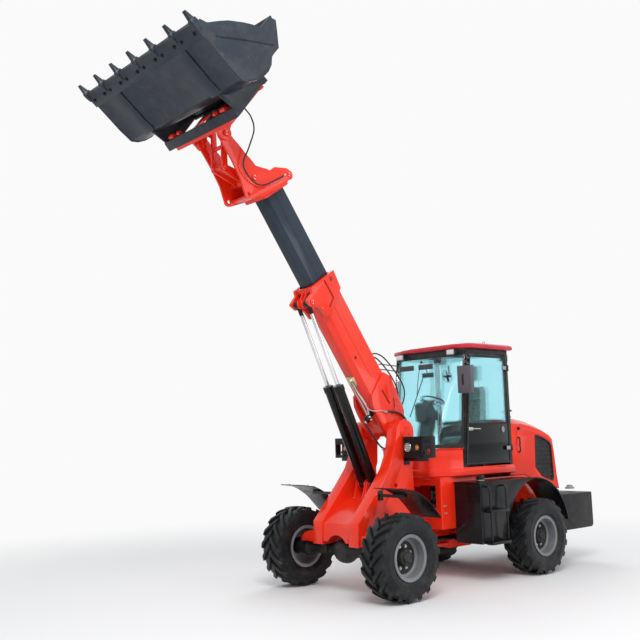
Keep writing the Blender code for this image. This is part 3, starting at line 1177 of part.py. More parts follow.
def make_door():
    dark = material("cab_black", (0.03, 0.035, 0.036), 0.5)
    glass = material("glass", (0.55, 0.75, 0.80), 0.05, 0.0, 0.35)
    y_low, y_high = CAB_HALF_WIDTH + MOVING_GAP, CAB_HALF_WIDTH + MOVING_GAP + 0.018
    margin = 0.028
    frame = cut(plate(door_outline(0), y_low, y_high), plate(door_outline(margin), y_low - 0.1, y_high + 0.1))
    hinges = []
    for z in DOOR_HINGE_LEVELS:
        hinges.append(box(HINGE_DOOR_X, HINGE_DOOR_X + 0.115, y_high - 0.004, y_high + 0.018,
                          z - 0.03, z + 0.03))
        hinges.append(rod((HINGE_DOOR_X, HINGE_DOOR_Y, z - 0.045), (HINGE_DOOR_X, HINGE_DOOR_Y, z + 0.045),
                          0.016, 12))
    frame = join(frame, *hinges)
    piece("door_frame", "door", frame, dark)
    face, back = y_low + 0.005, y_low + 0.005 + GLASS_THICKNESS
    opening = door_outline(margin + GAP)
    above = box(REAR_POST_X - 1, DOOR_POST_FOOT_X + 1, 0, 2, DOOR_PANEL_TOP, CAB_TOP_Z)
    below = box(REAR_POST_X - 1, DOOR_POST_FOOT_X + 1, 0, 2, 0, DOOR_PANEL_TOP + GAP)
    piece("door_panel", "door", cut(plate(opening, face, back), above), dark)
    piece("door_glass", "door", cut(plate(opening, face, back), below), glass)


def make_seat(floor):
    """A plinth, a dished cushion, a raked back with bolsters, a headrest and armrests."""
    x, y = REAR_POST_X + 0.05, SEAT_Y
    base = box(x + 0.18, x + 0.52, y - 0.20, y + 0.20, floor, 1.87)
    cushion = plate([(x + 0.62, 1.86), (x + 0.64, 1.90), (x + 0.60, 1.975), (x + 0.45, 1.985),
                     (x + 0.20, 1.955), (x + 0.10, 1.96), (x + 0.10, 1.86)], y - 0.25, y + 0.25)
    back = plate([(x + 0.20, 1.93), (x + 0.235, 2.10), (x + 0.195, 2.35), (x + 0.185, 2.60),
                  (x + 0.145, 2.73),
                  (x + 0.085, 2.74), (x + 0.03, 2.60), (x + 0.07, 2.15), (x + 0.09, 1.93)],
                 y - 0.235, y + 0.235)
    rest = plate([(x + 0.165, 2.81), (x + 0.155, 3.00), (x + 0.12, 3.045), (x + 0.07, 3.04), (x + 0.05, 2.97),
                  (x + 0.07, 2.80)], y - 0.13, y + 0.13)
    stems = [rod((x + 0.10, y + k * 0.06, 2.68), (x + 0.11, y + k * 0.06, 2.86), 0.010, 8) for k in (1, -1)]
    arms = [box(x + 0.12, x + 0.50, y + k * 0.275 - 0.03, y + k * 0.275 + 0.03, 2.17, 2.22) for k in (1, -1)]
    arm_posts = [box(x + 0.10, x + 0.18, y + k * 0.25 - 0.045, y + k * 0.25 + 0.045, 2.155, 2.235)
                 for k in (1, -1)]
    return join(base, cushion, back, rest, *stems, *arms, *arm_posts)


def make_steering():
    """A leaning column with its dash pod, and the wheel on its shaft."""
    floor = CAB_FLOOR_Z + 0.03 + GAP
    x = CAB_FRONT_X
    column = beam((x - 0.27, 0, floor + 0.05), (x - 0.475, 0, 2.30), 0.20, 0.13)
    pod = plate([(x - 0.345, 2.22), (x - 0.335, 2.46), (x - 0.40, 2.50), (x - 0.52, 2.36), (x - 0.53, 2.24)],
                -0.13, 0.13)
    tilt = Vector((-0.35, 0, 0.94))
    hub = Vector((x - 0.60, 0, 2.53))
    shaft = rod((x - 0.47, 0, 2.32), hub, 0.022, 10)
    wheel = turned([(-0.013, 0.165), (0.0, 0.180), (0.013, 0.165), (0.0, 0.152)], hub, tilt, 20)
    side = Vector((0, 0.165, 0))
    spoke = beam(hub - side, hub + side, 0.016, 0.03, tilt)
    plinth = box(x - 0.37, x - 0.16, -0.20, 0.20, floor, 1.60)
    return join(column, pod, shaft, wheel, spoke, plinth)


def make_interior():
    floor = CAB_FLOOR_Z + 0.03 + GAP
    piece("seat", "rear_frame", make_seat(floor), material("seat_fabric", (0.05, 0.06, 0.05), 0.9))
    piece("steering_console", "rear_frame", make_steering(), material("cab_black", (0.03, 0.035, 0.036), 0.5))


def make_mirrors():
    dark = material("cab_black", (0.03, 0.035, 0.036), 0.5)
    x, post_y = CAB_FRONT_X - 0.30, CAB_HALF_WIDTH
    for side, sign in MIRRORED:
        head = box(x - 0.035, x + 0.030, 0.765, 1.005, 2.59, 2.97)
        arms = [tube([(door_post_x(z) + 0.020, post_y + GAP, z), (door_post_x(z) + 0.020, post_y + 0.03, z),
                      (x - 0.05, 0.84, z + 0.03), (x, 0.86, z), (x, 0.86, 2.94)], 0.009, 6)
                for z in (3.02, 3.10)]
        piece("mirror_" + side, "rear_frame", on_side(join(head, *arms), sign), dark)


def arch_points(radius_grow, start, end, steps):
    """Points on the rear wheel arch, from one angle to another in degrees."""
    points = []
    for i in range(steps + 1):
        angle = math.radians(start + (end - start) * i / steps)
        points.append((-WHEELBASE + (ARCH_HALF_LENGTH + radius_grow) * math.cos(angle),
                       TYRE_RADIUS + (ARCH_HEIGHT + radius_grow) * math.sin(angle)))
    return points


def make_decks():
    black = material("black_paint", BLACK, 0.4)
    inner = FRAME_HALF_WIDTH + GAP
    outer = DECK_OUTER_Y
    x = -WHEELBASE
    for side, sign in MIRRORED:
        tank = box(x + 0.74, BOX_FRONT_X, inner, outer, BOX_LOW, DECK_TOP - 0.01)
        arch = arch_points(0, 12, 90, 9)
        panel = [(x + 0.77, DECK_TOP), (x + 0.77, 0.70)] + arch + [(x, DECK_TOP)]
        well = plate(panel, inner, outer)
        deck = box(x - 0.12, BOX_FRONT_X + 0.02, inner, outer, DECK_TOP - 0.012, DECK_TOP)
        crown = arch_points(0, 88, 168, 9) + arch_points(0.014, 168, 88, 9)
        guard = plate(crown, inner + 0.02, outer + 0.03)
        cap = rod((x + 1.12, 0.92, DECK_TOP - 0.02), (x + 1.12, 0.92, DECK_TOP + 0.05), 0.055, 14)
        parts = [tank, well, deck, guard, cap]
        piece(f"{side}_deck", "rear_frame", on_side(join(*parts), sign), black)
    rails = []
    for rail_x in (x + 1.20, x + 0.845):
        rails.append(tube([(rail_x, outer + GAP, 1.30), (rail_x, 1.11, 1.30), (rail_x, 1.135, 1.26),
                           (rail_x - 0.01, 1.135, 0.58), (rail_x - 0.01, 1.11, 0.555),
                           (rail_x - 0.01, outer + GAP, 0.555)], 0.013, 8))
    for z in (0.525, 0.95):
        rails.append(box(x + 0.81, x + 1.22, outer + 0.012, 1.165, z, z + 0.035))
    piece("ladder", "rear_frame", join(*rails), black)


def make_hood():
    red = material("red_paint", RED, 0.35)
    x0 = -WHEELBASE
    crease = [(HOOD_FRONT_X, 2.150), (x0 - 0.35, 2.142), (x0 - 0.61, 2.100), (x0 - 0.875, 2.030),
              (x0 - 1.035, 1.965), (x0 - 1.125, 1.900), (x0 - 1.16, 1.70), (x0 - 1.20, 1.337),
              (x0 - 1.242, 1.122)]
    lower = [(x0 - 0.75, 1.14), (x0 - 0.59, 1.30), (x0 - 0.37, 1.385), (HOOD_FRONT_X, 1.385)]

    def profile(y, rise, shrink):
        points = []
        for i, (x, z) in enumerate(crease):
            up = rise * (1.0 if i < 6 else 0.25 if i == 6 else 0.0)
            back = 0.4 * rise if i >= 5 else 0.0
            points.append((x - back + (shrink if i > 0 else -0.2 if shrink else 0), y, z + up - shrink))
        for x, z in lower:
            points.append((x + (0 if not shrink else shrink if x > HOOD_FRONT_X else 0.2 + shrink), y,
                           z - (0.3 if shrink else 0)))
        return points

    half = HOOD_HALF_WIDTH
    stations = ((-half, 0.0), (-half + 0.16, 0.085), (-0.15, 0.11), (0.15, 0.11), (half - 0.16, 0.085),
                (half, 0.0))
    outer = loft([profile(y, rise, 0) for y, rise in stations])
    t = HOOD_WALL
    inside = [(HOOD_FRONT_X + 0.2, 2.11), (x0 - 0.35, 2.10), (x0 - 0.61, 2.06), (x0 - 0.86, 1.99),
              (x0 - 1.01, 1.93), (x0 - 1.09, 1.86), (x0 - 1.125, 1.68), (x0 - 1.165, 1.32),
              (x0 - 1.205, 1.0), (HOOD_FRONT_X + 0.2, 1.0)]
    hollow = plate(inside, t - half, half - t)
    grille = [(x0 - 0.677, 1.967), (x0 - 0.732, 1.974), (x0 - 0.891, 1.931), (x0 - 1.04, 1.865),
              (x0 - 1.095, 1.805), (x0 - 1.115, 1.293), (x0 - 1.078, 1.245), (x0 - 0.80, 1.334),
              (x0 - 0.645, 1.474)]
    openings = both(plate(grille, half - 2 * t, half + 0.1))
    grip = x0 - 0.23
    handles = both(tube([(grip, half - 0.01, 1.94), (grip, half + 0.035, 1.93),
                         (grip, half + 0.035, 1.735), (grip, half - 0.01, 1.725)], 0.008, 6))
    knobs = both(rod((grip - 0.02, half - 0.01, 2.08), (grip - 0.02, half + 0.022, 2.08), 0.022, 10))
    shell = cut(outer, hollow, *openings)
    tongues = []
    for y in (-0.34, 0.34):
        tongues.append(box(HINGE_HOOD_X - 0.012, HINGE_HOOD_X + 0.060, y - 0.03, y + 0.03,
                           HINGE_HOOD_Z - 0.010, HINGE_HOOD_Z + 0.045))
        tongues.append(pin_at(HINGE_HOOD_X, HINGE_HOOD_Z, y - 0.03, y + 0.03, HOOD_KNUCKLE_RADIUS))
    piece("hood", "hood", join(shell, *handles, *knobs, *tongues), red)
    centre = (sum(x for x, _ in grille) / len(grille), sum(z for _, z in grille) / len(grille))
    mesh_black = material("grille_black", BLACK, 0.6)

    def shrunk(amount):
        return [(x + (centre[0] - x) * amount, z + (centre[1] - z) * amount) for x, z in grille]

    for side, sign in MIRRORED:
        frame = cut(plate(shrunk(0.003), half - t + 0.004, half + 0.006),
                    plate(shrunk(0.08), half - 2 * t, half + 0.1))
        back = plate(shrunk(0.05), half - t + 0.006, half - t + 0.012)
        slats = []
        for i in range(9):
            z = 1.33 + 0.066 * i
            slats.append(plate([(x0 - 1.11, z), (x0 - 0.67, z), (x0 - 0.67, z + 0.012),
                                (x0 - 1.11, z + 0.012)], half - t + 0.008, half - 0.004))
        slats = [boolean(slat, [plate(shrunk(0.04), half - 2 * t, half + 0.1)], "INTERSECT")
                 for slat in slats]
        piece(f"hood_grille_{side}", "hood", on_side(join(frame, back, *slats), sign), mesh_black)


def make_counterweight():
    rear, front = COUNTERWEIGHT_REAR, COUNTERWEIGHT_FRONT
    low, top, half = COUNTERWEIGHT_LOW, COUNTERWEIGHT_TOP, COUNTERWEIGHT_HALF_WIDTH
    outline = ([(front, top), (rear + 0.01, top), (rear, top - 0.01)]
               + arc((rear + 0.06, low + 0.06), 0.06, 180, 270, 4) + [(front, low)])
    weight = plate(outline, -half, half)
    eye = rod((rear + 0.35, 0.45, top - 0.01), (rear + 0.35, 0.45, top + 0.045), 0.05, 14)
    lugs = []
    for y in (-0.34, 0.34):
        for side in (-1, 1):
            y_low, y_high = sorted((y + side * (0.03 + GAP), y + side * 0.045))
            lugs.append(box(HINGE_HOOD_X - 0.018, HINGE_HOOD_X + 0.018, y_low, y_high, top - 0.01,
                            HINGE_HOOD_Z + 0.012))
    piece("counterweight", "rear_frame", join(weight, eye, mirrored(eye), *lugs),
          material("counterweight_black", (0.02, 0.02, 0.022), 0.7))


def make_boom_pipes():
    """Steel lines along the boom's back, with their clamps."""
    steel = material("zinc", (0.5, 0.5, 0.48), 0.3, 0.9)
    rise = OUTER_HIGH + 0.022
    lines = []
    for y in (-0.05, -0.02, 0.02, 0.05):
        lines.append(tube([(0.70, y, rise + 0.05), (0.82, y, rise), (2.08, y, rise)], 0.008, 6))
    clamps = [box(0.71, 0.74, -0.07, 0.07, rise + 0.02, rise + 0.07)]
    for s in (0.95, 1.40, 1.85):
        clamps.append(box(s - 0.02, s + 0.02, -0.07, 0.07, OUTER_HIGH + GAP, rise + 0.014))
    piece("boom_pipes", "boom", join(clamps[0], *lines, *clamps[1:]), steel, BOOM)


def centre_machine():
    """Shift everything so that the origin stands under the middle of the machine's length."""
    tip = BUCKET.at(TOOTH_REACH, 0.0).x
    shift = -(tip + COUNTERWEIGHT_REAR) / 2
    bodies["rear_frame"][0].location.x += shift
    print("front axle at x", shift)


def main():
    clear_scene()
    make_bodies()
    make_rear_frame()
    make_axle("rear_axle", "rear_frame", -WHEELBASE)
    make_axle("front_axle", "front_frame", 0.0)
    make_wheels()
    make_steering_cylinders()
    make_front_frame()
    make_boom()
    make_head()
    make_tilt_linkage()
    make_coupler()
    make_bucket()
    place_lift_cylinders()
    make_boom_pipes()
    make_cab()
    make_door()
    make_interior()
    make_mirrors()
    make_decks()
    make_hood()
    make_counterweight()
    centre_machine()


main()
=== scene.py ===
import json
import math

import bpy
from mathutils import Matrix, Vector


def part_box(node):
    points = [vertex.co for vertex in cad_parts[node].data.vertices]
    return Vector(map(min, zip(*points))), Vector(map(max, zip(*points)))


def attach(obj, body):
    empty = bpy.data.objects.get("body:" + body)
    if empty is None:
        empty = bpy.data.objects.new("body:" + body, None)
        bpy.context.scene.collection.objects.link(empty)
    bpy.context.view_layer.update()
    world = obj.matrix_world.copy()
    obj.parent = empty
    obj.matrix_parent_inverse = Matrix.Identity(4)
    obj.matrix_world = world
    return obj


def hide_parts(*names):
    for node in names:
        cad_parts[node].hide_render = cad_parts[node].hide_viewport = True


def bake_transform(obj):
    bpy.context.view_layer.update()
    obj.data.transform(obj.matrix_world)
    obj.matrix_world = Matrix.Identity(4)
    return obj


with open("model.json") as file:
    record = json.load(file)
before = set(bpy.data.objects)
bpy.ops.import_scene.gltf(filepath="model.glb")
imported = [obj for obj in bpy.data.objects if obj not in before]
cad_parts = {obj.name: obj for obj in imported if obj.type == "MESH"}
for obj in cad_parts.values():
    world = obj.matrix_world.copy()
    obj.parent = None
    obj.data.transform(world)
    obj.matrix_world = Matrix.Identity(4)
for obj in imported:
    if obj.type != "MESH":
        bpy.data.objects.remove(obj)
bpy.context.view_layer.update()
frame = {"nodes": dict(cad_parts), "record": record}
print("frame loaded")

frontAxleX = 0.647263                # the front axle in the loaded frame, metres
wheelbase = 2.83
halfTrack = 0.985                    # from the middle to a wheel's middle
hubHeight = 0.5375
boomAngle = math.radians(55.4)       # above level, as photographed
boomPivot = Vector((frontAxleX - 0.753, 0, 2.076))
bucketAngle = math.radians(38.3)     # the bucket's floor above level
sides = (("left", 1), ("right", -1))


def onBoom(s, h, y=0.0):
    # a point in the boom's own frame: s along it from the pivot, h square to it
    cos, sin = math.cos(boomAngle), math.sin(boomAngle)
    return boomPivot + Vector((s * cos - h * sin, y, s * sin + h * cos))


def onBucket(f, u, y=0.0):
    # a point in the bucket's own frame: f along its floor from the heel, u square to it
    cos, sin = math.cos(bucketAngle), math.sin(bucketAngle)
    hinge = onBoom(4.62, -0.21)
    back, up = -0.505, 0.11          # the hinge, seen from the heel
    heel = hinge - Vector((back * cos - up * sin, 0, back * sin + up * cos))
    return heel + Vector((f * cos - u * sin, y, f * sin + u * cos))


class Wire:
    # one output socket; sums on it add Math nodes
    def __init__(self, paint, socket):
        self.paint = paint
        self.socket = socket

    def sum(self, operation, other, swapped=False):
        pair = (other, self) if swapped else (self, other)
        return self.paint.node("ShaderNodeMath", {"operation": operation}, {0: pair[0], 1: pair[1]})

    def __add__(self, other):
        return self.sum("ADD", other)

    def __radd__(self, other):
        return self.sum("ADD", other, True)

    def __sub__(self, other):
        return self.sum("SUBTRACT", other)

    def __rsub__(self, other):
        return self.sum("SUBTRACT", other, True)

    def __mul__(self, other):
        return self.sum("MULTIPLY", other)

    def __rmul__(self, other):
        return self.sum("MULTIPLY", other, True)

    def ramp(self, low, high):
        # 0 below low and 1 above high
        return self.paint.node("ShaderNodeMapRange", {"clamp": True, "interpolation_type": "SMOOTHSTEP"},
                               {"Value": self, "From Min": low, "From Max": high,
                                "To Min": 0.0, "To Max": 1.0})


class Paint:
    # a material under construction
    def __init__(self, name, slot):
        self.material = bpy.data.materials.new(name)
        self.material.use_nodes = True
        self.slot = slot
        self.tree = self.material.node_tree
        self.shader = self.tree.nodes["Principled BSDF"]

    def node(self, kind, settings, inputs, output=0):
        made = self.tree.nodes.new(kind)
        for key, value in settings.items():
            setattr(made, key, value)
        for key, value in inputs.items():
            if isinstance(value, Wire):
                self.tree.links.new(value.socket, made.inputs[key])
            else:
                made.inputs[key].default_value = value
        return Wire(self, made.outputs[output])

    def place(self, scale=(1, 1, 1), turn=(0, 0, 0)):
        where = self.node("ShaderNodeTexCoord", {}, {}, "Object")
        return self.node("ShaderNodeMapping", {}, {"Vector": where, "Scale": scale, "Rotation": turn})

    def noise(self, scale, detail=4.0, rough=0.55, stretch=(1, 1, 1), turn=(0, 0, 0)):
        return self.node("ShaderNodeTexNoise", {}, {"Vector": self.place(stretch, turn), "Scale": scale,
                                                    "Detail": detail, "Roughness": rough}, "Fac")

    def height(self):
        where = self.node("ShaderNodeTexCoord", {}, {}, "Object")
        return self.node("ShaderNodeSeparateXYZ", {}, {"Vector": where}, "Z")

    def blend(self, factor, first, second):
        first = (*first, 1.0) if isinstance(first, tuple) and len(first) == 3 else first
        second = (*second, 1.0) if isinstance(second, tuple) and len(second) == 3 else second
        return self.node("ShaderNodeMix", {"data_type": "RGBA"}, {0: factor, 6: first, 7: second}, 2)

    def bump(self, height, distance, strength):
        return self.node("ShaderNodeBump", {}, {"Height": height, "Distance": distance, "Strength": strength})

    def wear(self, **values):
        # values or wires for the shader's own sockets, named as keywords
        for key, value in values.items():
            socket = self.shader.inputs[key.replace("_", " ")]
            if isinstance(value, Wire):
                self.tree.links.new(value.socket, socket)
            elif isinstance(value, tuple) and len(value) == 3:
                socket.default_value = (*value, 1.0)
            else:
                socket.default_value = value
        return self


dustColour = (0.33, 0.29, 0.24)


def enamel(name, slot, colour, deep, shine=0.26, dust=0.35, dustTop=1.3, gloss=0.32):
    # sprayed enamel: slow colour drift, orange peel, and road dust that thins out upwards
    paint = Paint(name, slot)
    drift = paint.noise(1.3, 3.0).ramp(0.35, 0.68)
    colourNow = paint.blend(drift, colour, deep)
    low = 1.0 - paint.height().ramp(0.35, dustTop)
    film = paint.noise(7.0, 8.0, 0.68).ramp(0.38, 0.72)
    specks = paint.noise(95.0, 3.0, 0.6).ramp(0.60, 0.78)
    dirt = (low * 0.75 + 0.10) * (film * 0.7 + specks * 0.3) * dust
    scuffs = paint.noise(11.0, 9.0, 0.75, (1, 1, 7), (0.3, 0.7, 0.2)).ramp(0.64, 0.70)
    colourNow = paint.blend(dirt, colourNow, dustColour)
    peel = paint.noise(420.0, 2.0, 0.5)
    paint.wear(Base_Color=colourNow,
               Roughness=shine + dirt * 0.9 + scuffs * 0.10 + drift * 0.04,
               Normal=paint.bump(peel, 0.0006, 0.16),
               Coat_Weight=gloss - dirt * gloss,
               Coat_Roughness=0.07, Specular_IOR_Level=0.22)
    return paint


def wornSlate(name, slot, colour, deep):
    # the bucket's dark paint, rubbed through in streaks along the digging direction
    paint = Paint(name, slot)
    drift = paint.noise(2.1, 5.0).ramp(0.35, 0.7)
    streaks = paint.noise(9.0, 8.0, 0.7, (1, 9, 1), (0, -bucketAngle, 0)).ramp(0.60, 0.70)
    scratches = paint.noise(34.0, 6.0, 0.65, (0.35, 7, 5), (0, -bucketAngle, 0)).ramp(0.66, 0.70)
    chips = paint.noise(60.0, 4.0, 0.6).ramp(0.70, 0.73)
    rubbed = (streaks * 0.25 + scratches * 0.5 + chips * 0.35)
    film = paint.noise(6.0, 8.0, 0.7).ramp(0.42, 0.75) * 0.09
    colourNow = paint.blend(drift, colour, deep)
    colourNow = paint.blend(film, colourNow, dustColour)
    colourNow = paint.blend(rubbed * 0.6, colourNow, (0.20, 0.21, 0.22))
    grain = paint.noise(240.0, 3.0, 0.6)
    paint.wear(Base_Color=colourNow, Roughness=0.36 + film * 0.9 + streaks * 0.08,
               Metallic=scratches * 0.35, Coat_Weight=0.18 - film * 0.5, Coat_Roughness=0.15,
               Specular_IOR_Level=0.3,
               Normal=paint.bump(grain + rubbed * -0.6, 0.0010, 0.22))
    return paint


def castBlack(name, slot, colour, speck=0.5, bumpSize=0.0016):
    # textured black paint over castings and plates, with pale grit caught in it
    paint = Paint(name, slot)
    grit = paint.noise(150.0, 5.0, 0.7)
    specks = grit.ramp(0.62, 0.70) * speck
    low = 1.0 - paint.height().ramp(0.3, 1.3)
    film = paint.noise(6.0, 8.0, 0.7).ramp(0.40, 0.75) * (low * 0.10 + 0.03)
    colourNow = paint.blend(paint.noise(3.0, 4.0), colour, tuple(c * 1.7 for c in colour))
    colourNow = paint.blend(specks, colourNow, (0.12, 0.125, 0.13))
    colourNow = paint.blend(film, colourNow, dustColour)
    paint.wear(Base_Color=colourNow, Roughness=0.46 + film * 0.8 + specks * 0.1, Specular_IOR_Level=0.25,
               Normal=paint.bump(grit, bumpSize, 0.35))
    return paint


def rubber(name, slot):
    # tyre rubber, dusty where the wheel is low
    paint = Paint(name, slot)
    film = paint.noise(9.0, 9.0, 0.72).ramp(0.40, 0.74)
    grains = paint.noise(210.0, 4.0, 0.65)
    low = 1.0 - paint.height().ramp(0.0, 0.55) * 0.5
    dirt = film * low * 0.16
    colourNow = paint.blend(paint.noise(2.0, 3.0), (0.006, 0.007, 0.0085), (0.011, 0.0125, 0.0145))
    colourNow = paint.blend(dirt, colourNow, (0.24, 0.22, 0.19))
    paint.wear(Base_Color=colourNow, Roughness=0.38 + dirt * 0.7, Specular_IOR_Level=0.20,
               Normal=paint.bump(grains, 0.0009, 0.30))
    return paint


def softTrim(name, slot, colour, grainScale=300.0, rough=0.6):
    # moulded plastic and window rubber
    paint = Paint(name, slot)
    grain = paint.noise(grainScale, 3.0, 0.55)
    film = paint.noise(8.0, 7.0, 0.7).ramp(0.45, 0.8) * 0.12
    colourNow = paint.blend(film, paint.blend(paint.noise(2.5, 3.0), colour, tuple(c * 1.6 for c in colour)),
                            dustColour)
    paint.wear(Base_Color=colourNow, Roughness=rough + film * 0.8, Specular_IOR_Level=0.3,
               Normal=paint.bump(grain, 0.0008, 0.25))
    return paint


def bareMetal(name, slot, colour, rough):
    # plated or polished steel with fine lines and smudges
    paint = Paint(name, slot)
    lines = paint.noise(60.0, 5.0, 0.6, (1, 1, 30))
    smudge = paint.noise(5.0, 5.0, 0.6).ramp(0.4, 0.75)
    colourNow = paint.blend(smudge * 0.35, colour, tuple(c * 0.72 for c in colour))
    paint.wear(Base_Color=colourNow, Metallic=1.0, Roughness=rough + smudge * 0.10 + lines * 0.06,
               Normal=paint.bump(lines, 0.0002, 0.12))
    return paint


def clearGlass(name, slot, tint, alpha=0.30):
    # tinted safety glass, a little dirty towards its lower edge
    paint = Paint(name, slot)
    film = paint.noise(5.0, 7.0, 0.7).ramp(0.40, 0.80)
    low = 1.0 - paint.height().ramp(1.6, 2.6)
    paint.wear(Base_Color=tint, Roughness=0.005 + film * low * 0.04, Metallic=0.0, Transmission_Weight=1.0,
               IOR=1.08, Alpha=alpha + film * 0.04, Coat_Weight=0.6, Coat_Roughness=0.02)
    return paint


def lampGlass(name, slot, colour):
    # a ribbed lens
    paint = Paint(name, slot)
    ribs = paint.noise(60.0, 1.0, 0.4, (0.2, 6, 1))
    paint.wear(Base_Color=paint.blend(ribs, colour, tuple(c * 0.75 for c in colour)),
               Roughness=0.10 + ribs * 0.08, Coat_Weight=1.0, Coat_Roughness=0.03,
               Normal=paint.bump(ribs, 0.002, 0.35))
    return paint


def weave(name, slot, colour, other):
    # seat cloth: two crossing waves make the threads
    paint = Paint(name, slot)
    thread = {"Vector": paint.place(), "Scale": 90.0, "Distortion": 0.6, "Detail": 1.0}
    warp = paint.node("ShaderNodeTexWave", {"bands_direction": "X"}, thread, "Fac")
    weft = paint.node("ShaderNodeTexWave", {"bands_direction": "Y"}, thread, "Fac")
    mottle = paint.noise(26.0, 6.0, 0.7).ramp(0.42, 0.62)
    threads = warp * weft
    paint.wear(Base_Color=paint.blend(mottle * 0.7 + threads * 0.3, colour, other), Roughness=0.88,
               Sheen_Weight=0.3, Normal=paint.bump(threads, 0.0010, 0.4))
    return paint


finishes = {
    "red": enamel("red enamel", "red_paint", (0.88, 0.030, 0.007), (0.80, 0.020, 0.005), 0.20, 0.10),
    "redHigh": enamel("boom enamel", "red_paint", (0.88, 0.032, 0.008), (0.80, 0.021, 0.005),
                      0.20, 0.03, 9.0, 0.45),
    "slate": wornSlate("bucket slate", "slate_paint", (0.014, 0.024, 0.038), (0.010, 0.017, 0.028)),
    "boomSlate": enamel("boom slate", "slate_paint", (0.013, 0.027, 0.046), (0.010, 0.020, 0.036),
                        0.22, 0.04, 9.0, 0.3),
    "black": enamel("black paint", "black_paint", (0.0045, 0.005, 0.0065), (0.007, 0.008, 0.010),
                    0.24, 0.05, 1.3, 0.15),
    "weight": castBlack("counterweight paint", "counterweight_black", (0.010, 0.0105, 0.0115), 0.8, 0.003),
    "axle": castBlack("axle casting", "axle_black", (0.008, 0.008, 0.009), 0.25),
    "engine": castBlack("engine casting", "engine_grey", (0.10, 0.10, 0.105), 0.3),
    "barrel": enamel("cylinder black", "cylinder_black", (0.003, 0.003, 0.0035), (0.005, 0.005, 0.006),
                     0.16, 0.02, 9.0, 0.12),
    "chrome": bareMetal("rod chrome", "chrome", (0.80, 0.81, 0.83), 0.10),
    "zinc": bareMetal("zinc plate", "zinc", (0.60, 0.59, 0.54), 0.30),
    "rim": enamel("wheel silver", "rim", (0.24, 0.25, 0.27), (0.15, 0.16, 0.175), 0.26, 0.30, 1.2),
    "tyre": rubber("tyre rubber", "tyre"),
    "cab": softTrim("cab frame black", "cab_black", (0.010, 0.012, 0.013), 260.0, 0.34),
    "seal": softTrim("window rubber", "cab_black", (0.012, 0.012, 0.013), 200.0, 0.7),
    # painted shade: a dark red that stands for the shade inside the boom's slots and holes
    "slotShadeRed": enamel("slot shade red", "red_paint", (0.34, 0.012, 0.008), (0.26, 0.010, 0.006), 0.4, 0.1, 9.0),
    "brass": bareMetal("yellow zinc", "zinc", (0.62, 0.55, 0.36), 0.34),
    "shell": softTrim("mirror shell", "cab_black", (0.075, 0.078, 0.092), 320.0, 0.40),
    "inside": softTrim("moulded trim", "cab_black", (0.045, 0.048, 0.050), 420.0, 0.62),
    "grille": softTrim("grille black", "grille_black", (0.012, 0.012, 0.013), 240.0, 0.55),
    "lampGrey": softTrim("lamp frame grey", "black_paint", (0.23, 0.24, 0.25), 240.0, 0.5),
    "roof": enamel("roof crimson", "roof_crimson", (0.60, 0.014, 0.035), (0.50, 0.010, 0.028),
                   0.30, 0.20, 9.0),
    "seat": weave("seat cloth", "seat_fabric", (0.045, 0.050, 0.046), (0.30, 0.33, 0.29)),
    "glass": clearGlass("cab glass", "glass", (0.46, 0.88, 0.96), 0.62),
    "clear": lampGlass("lamp lens", "glass", (0.80, 0.82, 0.84)),
    "orange": lampGlass("signal lens", "glass", (0.90, 0.26, 0.02)),
    "redLens": lampGlass("tail lens", "glass", (0.65, 0.01, 0.01)),
    "mirror": bareMetal("mirror silver", "chrome", (0.86, 0.87, 0.88), 0.03),
    "panel": enamel("door panel", "cab_black", (0.004, 0.005, 0.006), (0.006, 0.007, 0.008),
                    0.08, 0.03, 2.4, 0.14),
    "hose": softTrim("hose rubber", "cab_black", (0.016, 0.016, 0.017), 500.0, 0.5),
}
print("finishes written")


def clearSelection():
    if bpy.context.mode != "OBJECT":
        bpy.ops.object.mode_set(mode="OBJECT")
    bpy.ops.object.select_all(action="DESELECT")


def choose(obj):
    clearSelection()
    obj.hide_set(False)
    obj.select_set(True)
    bpy.context.view_layer.objects.active = obj


def settle(obj):
    # the object's place goes into its mesh
    choose(obj)
    bpy.ops.object.transform_apply(location=True, rotation=True, scale=True)


def finish(obj, name, body, finishName, smoothAngle=32):
    settle(obj)
    obj.name = name
    if smoothAngle:
        bpy.ops.object.shade_smooth_by_angle(angle=math.radians(smoothAngle))
    else:
        bpy.ops.object.shade_flat()
    paint = finishes[finishName]
    obj.data.materials.clear()
    obj.data.materials.append(paint.material)
    if body:
        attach(obj, body)
    return obj


def applyAll(obj):
    choose(obj)
    for step in list(obj.modifiers):
        bpy.ops.object.modifier_apply(modifier=step.name)


def bevelled(obj, width, segments=2, angle=30):
    step = obj.modifiers.new("bevel", "BEVEL")
    step.width = width
    step.segments = segments
    step.limit_method = "ANGLE"
    step.angle_limit = math.radians(angle)
    step.use_clamp_overlap = True
    step.harden_normals = False
    applyAll(obj)


def merged(objects):
    clearSelection()
    for obj in objects:
        obj.select_set(True)
    bpy.context.view_layer.objects.active = objects[0]
    if len(objects) > 1:
        bpy.ops.object.join()
    return bpy.context.view_layer.objects.active


def block(low, high):
    bpy.ops.mesh.primitive_cube_add(size=1)
    obj = bpy.context.active_object
    obj.scale = [h - l for l, h in zip(low, high)]
    obj.location = [(h + l) / 2 for l, h in zip(low, high)]
    settle(obj)
    return obj


def turnedTo(direction):
    return Vector(direction).to_track_quat("Z", "Y").to_euler()


